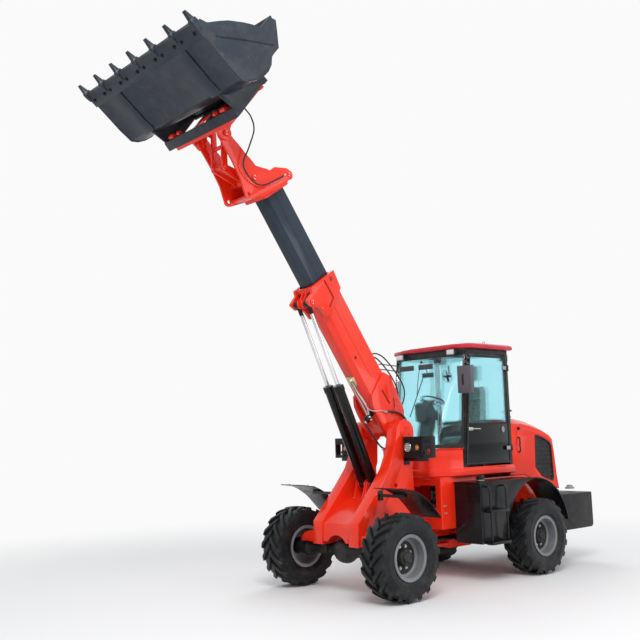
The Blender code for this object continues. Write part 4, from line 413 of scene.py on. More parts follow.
def spun(profile, centre, axis, steps):
    # extrude one vertex along (along, radius) points, then spin it about the axis
    bpy.ops.mesh.primitive_plane_add(size=0.01)
    obj = bpy.context.active_object
    bpy.ops.object.mode_set(mode="EDIT")
    bpy.ops.mesh.select_mode(type="VERT")
    bpy.ops.mesh.select_all(action="SELECT")
    bpy.ops.mesh.merge(type="CENTER")
    along, radius = profile[0]
    bpy.ops.transform.translate(value=(radius, 0, along))
    for before, after in zip(profile, profile[1:]):
        move = (after[1] - before[1], 0, after[0] - before[0])
        bpy.ops.mesh.extrude_region_move(TRANSFORM_OT_translate={"value": move})
    bpy.ops.mesh.select_all(action="SELECT")
    bpy.ops.mesh.spin(steps=steps, angle=2 * math.pi, center=(0, 0, 0), axis=(0, 0, 1))
    bpy.ops.mesh.select_all(action="SELECT")
    bpy.ops.mesh.remove_doubles(threshold=0.0002)
    bpy.ops.mesh.normals_make_consistent(inside=False)
    bpy.ops.object.mode_set(mode="OBJECT")
    obj.rotation_euler = turnedTo(axis)
    obj.location = centre
    settle(obj)
    return obj


def hexBolt(centre, axis, size=0.018):
    # a head of that width across its corners, with a domed top, on a washer
    bpy.ops.mesh.primitive_cylinder_add(vertices=6, radius=size / 2, depth=size * 0.36)
    obj = bpy.context.active_object
    obj.location = (0, 0, size * 0.18 + size * 0.10)
    settle(obj)
    bpy.ops.object.mode_set(mode="EDIT")
    bpy.ops.mesh.select_all(action="DESELECT")
    bpy.ops.object.mode_set(mode="OBJECT")
    for face in obj.data.polygons:
        face.select = face.normal.z > 0.9
    bpy.ops.object.mode_set(mode="EDIT")
    bpy.ops.mesh.inset(thickness=size * 0.07)
    bpy.ops.transform.translate(value=(0, 0, size * 0.05))
    bpy.ops.object.mode_set(mode="OBJECT")
    bpy.ops.mesh.primitive_cylinder_add(vertices=16, radius=size * 0.72, depth=size * 0.10,
                                        location=(0, 0, size * 0.05))
    obj = merged([obj, bpy.context.active_object])
    obj.rotation_euler = turnedTo(axis)
    obj.location = centre
    settle(obj)
    return obj


def copies(source, placements):
    # one mesh, repeated: each placement is a 4 x 4 matrix in the loaded frame
    made = [source]
    for matrix in placements[1:]:
        copy = source.copy()
        copy.data = source.data.copy()
        bpy.context.collection.objects.link(copy)
        copy.data.transform(matrix)
        made.append(copy)
    source.data.transform(placements[0])
    return merged(made)


def facing(point, axis):
    # a matrix that brings the Z axis onto that axis at that point
    return Matrix.Translation(point) @ Vector(axis).to_track_quat("Z", "Y").to_matrix().to_4x4()


def boltGroup(name, body, places, axis, size=0.018, finishName="zinc"):
    bolt = hexBolt((0, 0, 0), (0, 0, 1), size)
    group = copies(bolt, [facing(place, axis) for place in places])
    return finish(group, name, body, finishName, 30)


def fromNode(node, name, width, finishName):
    # the CAD solid with its edges broken, which stands for that node
    source = frame["nodes"][node]
    obj = source.copy()
    obj.data = source.data.copy()
    for key in list(obj.keys()):
        if key.startswith("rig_"):
            del obj[key]
    bpy.context.collection.objects.link(obj)
    obj.parent = None
    obj.matrix_world = Matrix.Identity(4)
    choose(obj)
    bpy.ops.object.mode_set(mode="EDIT")
    bpy.ops.mesh.select_all(action="SELECT")
    bpy.ops.mesh.remove_doubles(threshold=0.00003)
    bpy.ops.mesh.dissolve_limited(angle_limit=math.radians(1.0))
    bpy.ops.object.mode_set(mode="OBJECT")
    if width:
        bevelled(obj, width)
    finish(obj, name, bodyOf[node], finishName, 34)
    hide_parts(node)
    return obj


bodyOf = {node: body for body, nodes in frame["record"]["behaviour"]["bodies"].items() for node in nodes}

wheelBodies = [  # body, x and side of each wheel
    ("wheel_front_left", frontAxleX, 1),
    ("wheel_front_right", frontAxleX, -1),
    ("wheel_rear_left", frontAxleX - wheelbase, 1),
    ("wheel_rear_right", frontAxleX - wheelbase, -1),
]


# tyres and wheels
tyreLook = {
    "carcassRadius": 0.5035,
    "lugTop": 0.5370,
    "lugs": 18,
    "lean": 1.9,
    "treadHalf": 0.192,
    "steps": 72,
    "profile": [  # across, radius: bead, sidewall with its rings, shoulder and crown of one half
        (0.150, 0.2552), (0.1640, 0.2552), (0.1640, 0.288), (0.1700, 0.300), (0.1830, 0.318),
        (0.1900, 0.336), (0.1955, 0.345), (0.1955, 0.352), (0.2010, 0.372), (0.2045, 0.392),
        (0.2060, 0.402), (0.2060, 0.412), (0.2030, 0.428), (0.1995, 0.448), (0.1960, 0.470),
        (0.1900, 0.486), (0.1780, 0.4925), (0.1300, 0.4985), (0.0700, 0.5020), (0.0, 0.5035),
    ],
}


def makeLug():
    # one bar of the tread for the +across side, at angle 0 with the axle along Z
    look = tyreLook
    pitch = math.pi / look["lugs"]
    bpy.ops.mesh.primitive_cube_add(size=1)
    obj = bpy.context.active_object
    bpy.ops.object.mode_set(mode="EDIT")
    bpy.ops.mesh.select_all(action="SELECT")
    bpy.ops.mesh.subdivide(number_cuts=5)
    bpy.ops.object.mode_set(mode="OBJECT")
    for vert in obj.data.vertices:
        a, b, c = (x + 0.5 for x in vert.co)      # 0 to 1 along, across the bar, up
        across = -0.004 + a * (look["treadHalf"] + 0.008)
        crown = look["carcassRadius"] - 0.012 * (max(across, 0) / look["treadHalf"]) ** 2
        high = look["lugTop"] - 0.012 * (max(across, 0) / look["treadHalf"]) ** 2
        radius = crown - 0.012 + c * (high - crown + 0.012)
        wide = 0.50 - 0.10 * c - 0.10 * (1 - a) * c
        angle = pitch * (b - 0.5) * 2 * wide - look["lean"] * across
        reach = across - 0.010 * c * a
        vert.co = (radius * math.cos(angle), radius * math.sin(angle), reach)
    bevelled(obj, 0.0035, 2, 40)
    return obj


def makeTyre(body, x, side):
    look = tyreLook
    half = look["profile"]
    whole = [(a, r) for a, r in half] + [(-a, r) for a, r in reversed(half[:-1])]
    carcass = spun(whole + [whole[0]], (0, 0, 0), (0, 0, 1), look["steps"])
    bars = []
    lug = makeLug()
    pitch = 2 * math.pi / look["lugs"]
    for i in range(look["lugs"]):
        for sign in (1, -1):
            copy = lug.copy()
            copy.data = lug.data.copy()
            bpy.context.collection.objects.link(copy)
            turn = Matrix.Rotation(pitch * (i + (0.25 if sign > 0 else 0.75)), 4, "Z")
            copy.data.transform(turn @ Matrix.Diagonal((1, 1, sign, 1)))
            if sign < 0:
                copy.data.flip_normals()
            bars.append(copy)
    bpy.data.objects.remove(lug)
    tyre = merged([carcass] + bars)
    # the axle runs along Z so far: lay it along Y, outer side out
    lay = Matrix.Rotation(math.radians(-90 if side > 0 else 90), 4, "X")
    tyre.data.transform(Matrix.Translation((x, side * halfTrack, hubHeight)) @ lay)
    name = body.replace("wheel_", "") + "_tyre"
    finish(tyre, name + "_look", body, "tyre", 38)
    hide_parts(name)


rimLook = {
    "steps": 64,
    "profile": [  # across from the wheel's middle, radius: outer flange, well, disc, hub seat
        (0.1750, 0.2845), (0.1650, 0.2845), (0.1643, 0.2538), (0.1350, 0.2538), (0.1250, 0.2480),
        (-0.1250, 0.2480), (-0.1350, 0.2538), (-0.1643, 0.2538), (-0.1650, 0.2845), (-0.1750, 0.2845),
        (-0.1750, 0.2740), (-0.1700, 0.2440), (-0.1250, 0.2380), (0.0060, 0.2360), (0.0150, 0.2250),
        (0.0180, 0.1900), (0.0120, 0.1500), (0.0120, 0.1160), (0.0360, 0.1160), (0.0360, 0.1500),
        (0.0430, 0.1900), (0.0480, 0.2180), (0.0620, 0.2350), (0.1250, 0.2390), (0.1700, 0.2440),
        (0.1745, 0.2560), (0.1750, 0.2740), (0.1750, 0.2845),
    ],
    "hub": [  # the black planetary hub that stands out of the disc
        (0.0110, 0.0), (0.0110, 0.1155), (0.0560, 0.1155), (0.0600, 0.1120), (0.0960, 0.1000),
        (0.1000, 0.0960), (0.1000, 0.0600), (0.1130, 0.0560), (0.1170, 0.0500), (0.1170, 0.0),
    ],
    "disc": [  # a dark sheet in front of the rim's own disc: black paint together with painted shade of the deep disc
        (0.0372, 0.1160), (0.0380, 0.1500), (0.0446, 0.1895), (0.0470, 0.2000), (0.0450, 0.2030),
        (0.0390, 0.1900), (0.0330, 0.1500), (0.0330, 0.1160), (0.0372, 0.1160),
    ],
    "nuts": (8, 0.1380, 0.0375, 0.030),         # count, circle radius, place across, size
    "hubBolts": (6, 0.080, 0.0998, 0.015),
}


def makeRim(body, x, side):
    look = rimLook
    centre = Vector((x, side * halfTrack, hubHeight))
    out = (0, side, 0)
    name = body.replace("wheel_", "") + "_rim"
    rim = spun(look["profile"], centre, out, look["steps"])
    finish(rim, name + "_look", body, "rim", 30)
    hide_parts(name)
    # the disc's face darkened by a separate sheet: black paint and painted shade of the deep disc
    disc = spun(look["disc"], centre, out, look["steps"])
    finish(disc, name + "_disc", body, "axle", 30)
    hub = spun(look["hub"], centre, out, 40)
    finish(hub, name + "_hub", body, "axle", 30)
    rings = (("nuts", "_nuts", "zinc", 0.5), ("hubBolts", "_hub_bolts", "axle", 0))
    for key, ending, finishName, shift in rings:
        count, radius, across, size = look[key]
        places = []
        for i in range(count):
            angle = 2 * math.pi * (i + shift) / count
            spot = Vector((math.cos(angle), 0, math.sin(angle))) * radius
            places.append(centre + spot + Vector((0, side * across, 0)))
        boltGroup(name + ending, body, places, out, size, finishName)


for body, x, side in wheelBodies:
    makeTyre(body, x, side)
    makeRim(body, x, side)
print("wheels done")


# CAD solids with broken edges, each as node, bevel width and finish
solidLooks = [
    ("rear_frame", 0.004, "red"),
    ("rear_axle", 0.004, "axle"),
    ("front_axle", 0.004, "axle"),
    ("engine_block", 0.02, "engine"),
    ("counterweight", 0.014, "weight"),
    ("left_deck", 0.005, "black"),
    ("right_deck", 0.005, "black"),
    ("ladder", 0.002, "black"),
    ("cab_base", 0.006, "red"),
    ("cab_frame", 0.006, "cab"),
    ("cab_roof", 0.016, "roof"),
    ("steering_console", 0.006, "inside"),
    ("mirror_left", 0.008, "shell"),
    ("mirror_right", 0.008, "shell"),
    ("hood", 0.010, "red"),
    ("hood_grille_left", 0.002, "grille"),
    ("hood_grille_right", 0.002, "grille"),
    ("door_frame", 0.003, "cab"),
    ("front_frame", 0.005, "red"),
    ("front_fender_left", 0.002, "black"),
    ("front_fender_right", 0.002, "black"),
    ("headlight_left", 0.003, "black"),
    ("headlight_right", 0.003, "black"),
    ("boom_outer", 0.003, "redHigh"),
    ("boom_pipes", 0.0, "zinc"),
    ("boom_inner", 0.003, "boomSlate"),
    ("boom_head", 0.003, "redHigh"),
    ("bell_crank", 0.003, "redHigh"),
    ("tilt_link", 0.002, "redHigh"),
    ("tilt_rod", 0.001, "chrome"),
    ("coupler", 0.003, "redHigh"),
    ("bucket", 0.002, "slate"),
    ("lift_barrel_left", 0.002, "barrel"),
    ("lift_barrel_right", 0.002, "barrel"),
    ("lift_eye_left", 0.003, "barrel"),
    ("lift_eye_right", 0.003, "barrel"),
    ("lift_rod_left", 0.001, "chrome"),
    ("lift_rod_right", 0.001, "chrome"),
    ("steer_barrel_left", 0.002, "barrel"),
    ("steer_barrel_right", 0.002, "barrel"),
    ("steer_rod_left", 0.001, "chrome"),
    ("steer_rod_right", 0.001, "chrome"),
    ("windscreen", 0.001, "glass"),
    ("door_panel", 0.001, "panel"),
    ("right_window", 0.001, "glass"),
    ("rear_window", 0.001, "glass"),
    ("door_glass", 0.001, "glass"),
]
for node, width, finishName in solidLooks:
    fromNode(node, node + "_look", width, finishName)
print("solids dressed")


def at(x, y, z):
    # from the front axle's own frame to the loaded frame
    return Vector((x + frontAxleX, y, z))


def bar(low, high, width, segments=2):
    obj = block(low, high)
    bevelled(obj, width, segments)
    return obj


def chip(size, width, place, axis):
    # a bevelled slab of that size, its thickness along the axis
    obj = bar([-s / 2 for s in size], [s / 2 for s in size], width)
    obj.data.transform(facing(place, axis))
    return obj


def pipe(points, radius, sides=4):
    # a smooth round pipe through the points
    bpy.ops.curve.primitive_bezier_curve_add(location=(0, 0, 0))
    obj = bpy.context.active_object
    obj.data.splines.clear()
    line = obj.data.splines.new("BEZIER")
    line.bezier_points.add(len(points) - 1)
    for knot, point in zip(line.bezier_points, points):
        knot.co = point
        knot.handle_left_type = "AUTO"
        knot.handle_right_type = "AUTO"
    obj.data.dimensions = "3D"
    obj.data.resolution_u = 10
    obj.data.bevel_depth = radius
    obj.data.bevel_resolution = sides
    obj.data.use_fill_caps = True
    choose(obj)
    bpy.ops.object.convert(target="MESH")
    return bpy.context.active_object


def ring(centre, axis, major, minor, steps=32, sides=10):
    profile = []
    for i in range(sides + 1):
        angle = 2 * math.pi * i / sides
        profile.append((minor * math.sin(angle), major + minor * math.cos(angle)))
    return spun(profile, centre, axis, steps)


def pinCap(centre, axis, radius, height=0.010):
    # a pin's end with a turned edge and a grease hole
    profile = [(-0.004, radius), (height * 0.7, radius), (height, radius - 0.003), (height, 0.012),
               (height * 0.6, 0.009), (height * 0.6, 0.0)]
    return spun(profile, centre, axis, 32)


def sheet(rows, thickness):
    # a thin sheet through rows of points, thickened towards its back
    wide, high = len(rows[0]), len(rows)
    bpy.ops.mesh.primitive_grid_add(x_subdivisions=wide - 1, y_subdivisions=high - 1, size=1,
                                    location=(0, 0, 0))
    obj = bpy.context.active_object
    for vert in obj.data.vertices:
        i = round((vert.co.x + 0.5) * (wide - 1))
        j = round((vert.co.y + 0.5) * (high - 1))
        vert.co = rows[j][i]
    thick = obj.modifiers.new("thick", "SOLIDIFY")
    thick.thickness = thickness
    thick.offset = 0
    applyAll(obj)
    choose(obj)
    bpy.ops.object.mode_set(mode="EDIT")
    bpy.ops.mesh.select_all(action="SELECT")
    bpy.ops.mesh.normals_make_consistent(inside=False)
    bpy.ops.object.mode_set(mode="OBJECT")
    return obj


def sideBar(sign, low, high, width, segments=2):
    # corners given for the left side; sign -1 puts the bar on the right
    near, far = sorted((sign * low[1], sign * high[1]))
    return bar(at(low[0], near, low[2]), at(high[0], far, high[2]), width, segments)


def sidePipe(sign, points, radius, roundness=4):
    return pipe([at(x, sign * y, z) for x, y, z in points], radius, roundness)


# headlights: chrome bowl rim, lens, signal lamp, guard mesh and red reflector
headlightLook = {
    "head": (0.535, 1.863, 0.058),          # across, height and radius
    "signal": (0.705, 1.860, 0.036),
    "faceX": -0.6885,
    "guardX": -0.6740,
    "guardAcross": (0.462, 0.762),
    "guardHeight": (1.728, 2.000),
    "pitch": 0.0235,                        # from wire to wire
    "wire": 0.0018,
    "uprights": (13, 0.464, 0.296),         # count, first place across, spread
    "clampHeights": (1.735, 1.993),
    "reflector": (-0.7635, 0.850, 1.80),
    "stalk": ((-0.775, 0.838, 1.765), (-0.764, 0.862, 1.83)),
}
look = headlightLook
for side, sign in sides:
    y, z, radius = look["head"]
    centre = at(look["faceX"], sign * y, z)
    bezel = spun([(-0.002, radius + 0.006), (0.007, radius + 0.006), (0.011, radius + 0.003),
                  (0.011, radius - 0.003), (0.003, radius - 0.007), (-0.002, radius - 0.007),
                  (-0.002, radius + 0.006)], centre, (1, 0, 0), 40)
    finish(bezel, f"headlight_{side}_bezel", "chassis_front", "chrome", 30)
    lens = spun([(0.0, radius - 0.002), (0.006, radius - 0.004), (0.009, radius * 0.72),
                 (0.011, radius * 0.42), (0.012, 0.0)], centre, (1, 0, 0), 40)
    finish(lens, f"headlight_{side}_lens", "chassis_front", "clear", 60)
    y, z, radius = look["signal"]
    centre = at(look["faceX"] + 0.002, sign * y, z)
    lens = spun([(0.0, radius), (0.006, radius - 0.001), (0.010, radius * 0.80), (0.013, radius * 0.45),
                 (0.014, 0.0)], centre, (1, 0, 0), 32)
    finish(lens, f"headlight_{side}_signal", "chassis_front", "orange", 60)
    wires = []
    wire, guardX = look["wire"], look["guardX"]
    inner, outer = look["guardAcross"]
    low, high = look["guardHeight"]
    count = int((high - low) / look["pitch"])
    for i in range(count + 1):
        z = low + (high - low) * i / count
        wires.append(sideBar(sign, (guardX - 0.001, inner, z - wire), (guardX + 0.001, outer, z + wire),
                             0.0005, 1))
    count, first, spread = look["uprights"]
    for i in range(count):
        y = sign * (first + spread * i / (count - 1))
        wires.append(bar(at(guardX - 0.0009, y - wire, low), at(guardX + 0.0009, y + wire, high), 0.0005, 1))
    for y in (first, first + spread):
        for z in look["clampHeights"]:
            wires.append(sideBar(sign, (-0.705, y - 0.004, z - 0.004), (-0.673, y + 0.004, z + 0.004),
                                 0.001, 1))
    finish(merged(wires), f"headlight_{side}_guard", "chassis_front", "grille", 30)
    x, y, z = look["reflector"]
    reflector = spun([(-0.002, 0.030), (0.004, 0.030), (0.006, 0.027), (0.007, 0.0)],
                     at(x, sign * y, z), (1, 0, 0), 28)
    stalk = sideBar(sign, *look["stalk"], 0.003)
    finish(reflector, f"headlight_{side}_reflector", "chassis_front", "redLens", 40)
    finish(stalk, f"headlight_{side}_stalk", "chassis_front", "black", 30)
print("headlights done")


# roof lamps, door mirrors and the lifting eye on the roof
roofLook = {
    "workLamp": (-1.6973, 0.502, 3.2),
    "lampRibs": (8, 0.016),                 # count and pitch
    "rearLens": ((-2.857, 0.557, 3.098), (-2.849, 0.643, 3.182)),
    "mirrorGlass": ((-1.5835, 0.782, 2.607), (-1.5795, 0.988, 2.953)),
    "mirrorClamp": ((-1.553, 0.840, 2.70), (-1.512, 0.880, 2.86)),
    "eye": (-2.355, 0.60, 3.322),
}
for side, sign in sides:
    x, y, z = roofLook["workLamp"]
    y = sign * y
    rimBar = bar(at(x - 0.004, y - 0.070, z - 0.040), at(x + 0.006, y + 0.070, z + 0.040), 0.004)
    finish(rimBar, f"work_lamp_{side}_rim", "chassis_rear", "lampGrey", 30)
    lens = bar(at(x + 0.004, y - 0.060, z - 0.030), at(x + 0.010, y + 0.060, z + 0.030), 0.0029, 3)
    finish(lens, f"work_lamp_{side}_lens", "chassis_rear", "clear", 40)
    count, pitch = roofLook["lampRibs"]
    ribs = [bar(at(x + 0.0095, y - 0.056 + pitch * i, z - 0.026),
                at(x + 0.0112, y - 0.052 + pitch * i, z + 0.026), 0.0008) for i in range(count)]
    finish(merged(ribs), f"work_lamp_{side}_ribs", "chassis_rear", "clear", 40)
    lens = sideBar(sign, *roofLook["rearLens"], 0.0035, 3)
    finish(lens, f"rear_lamp_{side}_lens", "chassis_rear", "clear", 40)
    glass = sideBar(sign, *roofLook["mirrorGlass"], 0.0018)
    finish(glass, f"mirror_{side}_glass", "chassis_rear", "mirror", 30)
    clamp = sideBar(sign, *roofLook["mirrorClamp"], 0.006)
    finish(clamp, f"mirror_{side}_clamp", "chassis_rear", "cab", 30)
x, y, z = roofLook["eye"]
eye = ring(at(x, y, z + 0.030), (1, 0, 0), 0.020, 0.005)
foot = spun([(-0.004, 0.017), (0.006, 0.017), (0.010, 0.010), (0.014, 0.007), (0.014, 0.0)],
            at(x, y, z), (0, 0, 1), 24)
finish(merged([eye, foot]), "roof_eye", "chassis_rear", "roof", 40)
print("roof fittings done")


# the bonded black border of the windscreen
screenLook = {
    "foot": 1.832,
    "head": 3.145,
    "border": 0.050,
    "round": 0.09,                # radius of its lower corners
    "proud": 0.0018,              # how far it lies in front of the glass
    "thick": 0.0022,
    "lean": 0.398,                # how far the pane leans back for each metre up
    "frontHalf": 0.487,
    "rearHalf": 0.682,
    "bend": 0.13,                 # reach of the rounded bend on each side of its corner
}


def screenPath(z):
    # the pane's outline from above at that height, from its right end to its left
    look = screenLook
    corner = Vector((-1.245 - look["lean"] * (z - 1.85), look["frontHalf"]))
    back = Vector((-1.681 - 0.109 * (z - 1.555) + 0.038, look["rearHalf"]))
    front = corner - Vector((0, look["bend"]))
    rear = corner + (back - corner).normalized() * look["bend"]
    left = []
    for i in range(11):
        t = i / 10
        left.append(front * (1 - t) ** 2 + corner * 2 * t * (1 - t) + rear * t ** 2)
    left.append(back)
    return [Vector((p.x, -p.y)) for p in reversed(left)] + left


def raised(path, amount):
    # each point pushed outwards, square to the path
    made = []
    for i, point in enumerate(path):
        before, after = path[max(i - 1, 0)], path[min(i + 1, len(path) - 1)]
        along = (after - before).normalized()
        made.append(point + Vector((along.y, -along.x)) * amount)
    return made


look = screenLook
borderTop = look["foot"] + look["border"]
rows = [[at(p.x, p.y, z) for p in raised(screenPath(z), look["proud"])] for z in (look["foot"], borderTop)]
bands = [sheet(rows, look["thick"])]
for sign in (1, -1):
    rows = []
    for i in range(25):
        z = borderTop + (look["head"] - look["foot"] - look["border"]) * (i / 24) ** 1.6
        path = raised(screenPath(z), look["proud"])
        end, inner = (path[-1], path[-2]) if sign > 0 else (path[0], path[1])
        rise = z - look["foot"] - look["border"]
        curve = look["round"]
        extra = curve - math.sqrt(max(curve ** 2 - (curve - rise) ** 2, 0)) if rise < curve else 0
        step = (inner - end).normalized() * (look["border"] * 0.8 + extra)
        rows.append([at(end.x, end.y, z), at(end.x + step.x, end.y + step.y, z)])
    bands.append(sheet(rows, look["thick"]))
finish(merged(bands), "windscreen_border", "chassis_rear", "seal", 30)


# wiper: motor cap, arm and blade over the glass
wiperLook = {  # across, height and distance off the glass
    "arm": ((-0.10, 3.10, 0.012), (-0.08, 2.95, 0.030), (-0.02, 2.60, 0.024)),
    "blade": ((0.02, 2.90, 0.012), (-0.02, 2.60, 0.014), (-0.07, 2.28, 0.012)),
    "cap": (-0.10, 3.10, 0.0),
    "outwards": (0.93, 0, 0.37),
}


def onScreen(y, z, out=0.0):
    x, _, up = wiperLook["outwards"]
    return at(-1.245 - screenLook["lean"] * (z - 1.85) + x * out, y, z + up * out)


arm = pipe([onScreen(*p) for p in wiperLook["arm"]], 0.005, 3)
blade = pipe([onScreen(*p) for p in wiperLook["blade"]], 0.007, 2)
cap = spun([(0.0, 0.018), (0.014, 0.018), (0.020, 0.012), (0.020, 0.0)], onScreen(*wiperLook["cap"]),
           wiperLook["outwards"], 24)
finish(merged([arm, blade, cap]), "wiper", "chassis_rear", "cab", 40)


# door: lever handle, oval lock, hinge bolts and leaves, sill strip
doorLook = {
    "lever": ((-1.80, 0.716, 2.09), (-1.80, 0.745, 2.09), (-1.83, 0.752, 2.09), (-1.98, 0.752, 2.088),
              (-2.0, 0.740, 2.088)),
    "plate": ((-1.86, 0.7185, 2.068), (-1.765, 0.7245, 2.112)),
    "lock": (-2.545, 0.7185, 2.072),
    "hingeHeights": (1.80, 2.98),
    "hingeBolts": (-2.64, -2.61),
    "sill": ((-2.70, 0.7185, 2.152), (-1.735, 0.7235, 2.172)),
}
lever = sidePipe(1, doorLook["lever"], 0.009, 3)
plateBar = sideBar(1, *doorLook["plate"], 0.0028)
finish(merged([lever, plateBar]), "door_handle", "cab_door", "zinc", 40)
lock = spun([(0.0, 0.036), (0.010, 0.036), (0.015, 0.030), (0.015, 0.018), (0.011, 0.015), (0.011, 0.0)],
            (0, 0, 0), (0, 1, 0), 36)
oval = Matrix.Diagonal((0.80, 1, 1.25, 1))
lock.data.transform(Matrix.Translation(at(*doorLook["lock"])) @ oval)
finish(lock, "door_lock", "cab_door", "lampGrey", 40)
places = [at(x, 0.7415, z) for z in doorLook["hingeHeights"] for x in doorLook["hingeBolts"]]
boltGroup("door_hinge_bolts", "cab_door", places, (0, 1, 0), 0.016, "zinc")
strip = sideBar(1, *doorLook["sill"], 0.002)
finish(strip, "door_sill_strip", "cab_door", "seal", 30)
for z in doorLook["hingeHeights"]:
    leaf = bar(at(-2.672, 0.7412, z - 0.028), at(-2.588, 0.7475, z + 0.028), 0.003)
    finish(leaf, f"door_hinge_leaf_{round(z * 100)}", "cab_door", "lampGrey", 30)


# hood: a grab handle and a catch on each side
gripLook = {
    "side": 0.60,                 # the hood's flank
    "x": -3.06,
    "points": ((-0.004, 1.940), (0.028, 1.939), (0.0355, 1.925), (0.0355, 1.832), (0.0355, 1.740),
               (0.028, 1.727), (-0.004, 1.725)),
    "radius": 0.0105,
    "knob": (-3.08, 2.08),
}
for side, sign in sides:
    y = sign * gripLook["side"]
    grip = pipe([at(gripLook["x"], y + sign * out, z) for out, z in gripLook["points"]],
                gripLook["radius"], 3)
    x, z = gripLook["knob"]
    knob = spun([(0.004, 0.025), (0.020, 0.025), (0.026, 0.021), (0.027, 0.0)], at(x, y, z), (0, sign, 0), 28)
    finish(merged([grip, knob]), f"hood_grip_{side}", "engine_hood", "black", 40)
print("cab fittings done")


# boom: seams, slots, pin ends, bracket, steel pipes and hoses
def axesAt(angle, origin):
    # a frame tilted by that angle: along, across, square
    cos, sin = math.cos(angle), math.sin(angle)
    return Matrix(((cos, 0, -sin, origin.x), (0, 1, 0, origin.y), (sin, 0, cos, origin.z), (0, 0, 0, 1)))


boomAxes = axesAt(boomAngle, boomPivot)
bucketAxes = axesAt(bucketAngle, onBucket(0, 0))


def tiltedBar(axes, low, high, width):
    # low and high are along, across and square to that frame
    obj = bar(low, high, width)
    obj.data.transform(axes)
    return obj


def roundedStrip(axes, start, end, y, thickness, width):
    # a strip with round ends between two points (along, square) of that frame
    start, end = Vector(start), Vector(end)
    run = end - start
    obj = block((-(run.length + width) / 2, -thickness / 2, -width / 2),
                ((run.length + width) / 2, thickness / 2, width / 2))
    choose(obj)
    for edge in obj.data.edges:
        a, b = (obj.data.vertices[i].co for i in edge.vertices)
        edge.select = abs(a.x - b.x) < 0.0001 and abs(a.z - b.z) < 0.0001
    for vert in obj.data.vertices:
        vert.select = False
    for face in obj.data.polygons:
        face.select = False
    bpy.ops.object.mode_set(mode="EDIT")
    bpy.ops.mesh.select_mode(type="EDGE")
    bpy.ops.mesh.bevel(offset=width * 0.48, segments=6, affect="EDGES")
    bpy.ops.mesh.select_mode(type="VERT")
    bpy.ops.object.mode_set(mode="OBJECT")
    turn = Matrix.Rotation(-math.atan2(run.y, run.x), 4, "Y")
    middle = (start + end) / 2
    obj.data.transform(axes @ Matrix.Translation((middle.x, y, middle.y)) @ turn)
    return obj


boomLook = {  # all along the boom and square to it
    "seams": ((0.80, 1.93, 0.158, 0.1506, "boom_base"), (2.40, 3.665, 0.158, 0.1306, "boom_tip")),
    "slots": (((2.331, 0.179), (2.062, 0.183)), ((2.062, 0.183), (2.001, 0.058)),
              ((0.567, 0.187), (0.344, 0.201)), ((0.350, 0.310), (0.253, 0.255)),
              ((0.253, 0.255), (0.205, 0.151))),
    "rootWeld": ((0.752, 0.369), (0.70, 0.20), (0.62, -0.02)),
    "collarWeld": ((2.137, 0.384), (2.101, 0.379), (2.00, 0.18), (1.903, 0.014), (1.917, -0.061)),
    "weldRadius": 0.0048,
    "port": (1.188, 0.067),
    "hole": (2.296, 0.295),
}
for side, sign in sides:
    for i, (low, high, h, y, body) in enumerate(boomLook["seams"]):
        seam = tiltedBar(boomAxes, (low, sign * y - 0.0008, h - 0.0018),
                         (high, sign * y + 0.0008, h + 0.0018), 0.0006)
        finish(seam, f"boom_seam_{side}_{i}", body, "seal", 30)
    # the slots are raised dark red strips on the side plate: painted shade of their recesses
    slots = [roundedStrip(boomAxes, a, b, sign * 0.1902, 0.0024, 0.016) for a, b in boomLook["slots"]]
    finish(merged(slots), f"boom_slots_{side}", "boom_base", "slotShadeRed", 30)
    for name in ("rootWeld", "collarWeld"):
        points = [onBoom(s, h, sign * 0.1535) for s, h in boomLook[name]]
        beads = [pipe([a, a.lerp(b, 0.5), b], boomLook["weldRadius"], 2) for a, b in zip(points, points[1:])]
        finish(merged(beads), f"boom_{name}_{side}", "boom_base", "redHigh", 60)
    hole = spun([(0.0, 0.031), (0.005, 0.031), (0.007, 0.028), (0.007, 0.022), (0.001, 0.020), (0.001, 0.0)],
                onBoom(*boomLook["port"], sign * 0.150), (0, sign, 0), 32)
    finish(hole, f"boom_port_{side}", "boom_base", "redHigh", 40)
    plug = spun([(0.0, 0.019), (0.0035, 0.019), (0.0035, 0.0)], onBoom(*boomLook["port"], sign * 0.150),
                (0, sign, 0), 32)
    finish(plug, f"boom_port_plug_{side}", "boom_base", "seal", 40)
    # the hole is a raised dark red disc: painted shade inside it
    hole = spun([(0.0, 0.030), (0.003, 0.030), (0.004, 0.027), (0.004, 0.0)],
                onBoom(*boomLook["hole"], sign * 0.190), (0, sign, 0), 32)
    finish(hole, f"boom_hole_{side}", "boom_base", "slotShadeRed", 40)


# pin ends with their keeper bolts
pinLook = [  # name, body, s, h, outer y, radius
    ("tilt_pin", "boom_tip", 4.62, -0.21, 0.292, 0.034),
    ("crank_pin", "boom_tip", 3.975, -0.107, 0.245, 0.036),
    ("lobe_pin", "boom_tip", 3.767, 0.435, 0.241, 0.030),
    ("ear_pin", "boom_base", 2.203, -0.181, 0.202, 0.036),
]
for name, body, s, h, y, radius in pinLook:
    ends = [pinCap(onBoom(s, h, sign * y), (0, sign, 0), radius) for sign in (1, -1)]
    finish(merged(ends), name + "_ends", body, "redHigh", 34)
    keeper = []
    for sign in (1, -1):
        for turn in (0.6, 0.6 + math.pi):
            spot = onBoom(s + radius * 0.55 * math.cos(turn), h + radius * 0.55 * math.sin(turn),
                          sign * (y + 0.0095))
            keeper.append(hexBolt(spot, (0, sign, 0), 0.013))
    finish(merged(keeper), name + "_bolts", body, "zinc", 30)
pivotLook = {"across": 0.452, "radius": 0.088, "height": 0.008, "boltCircle": 0.058, "bolts": 3}
look = pivotLook
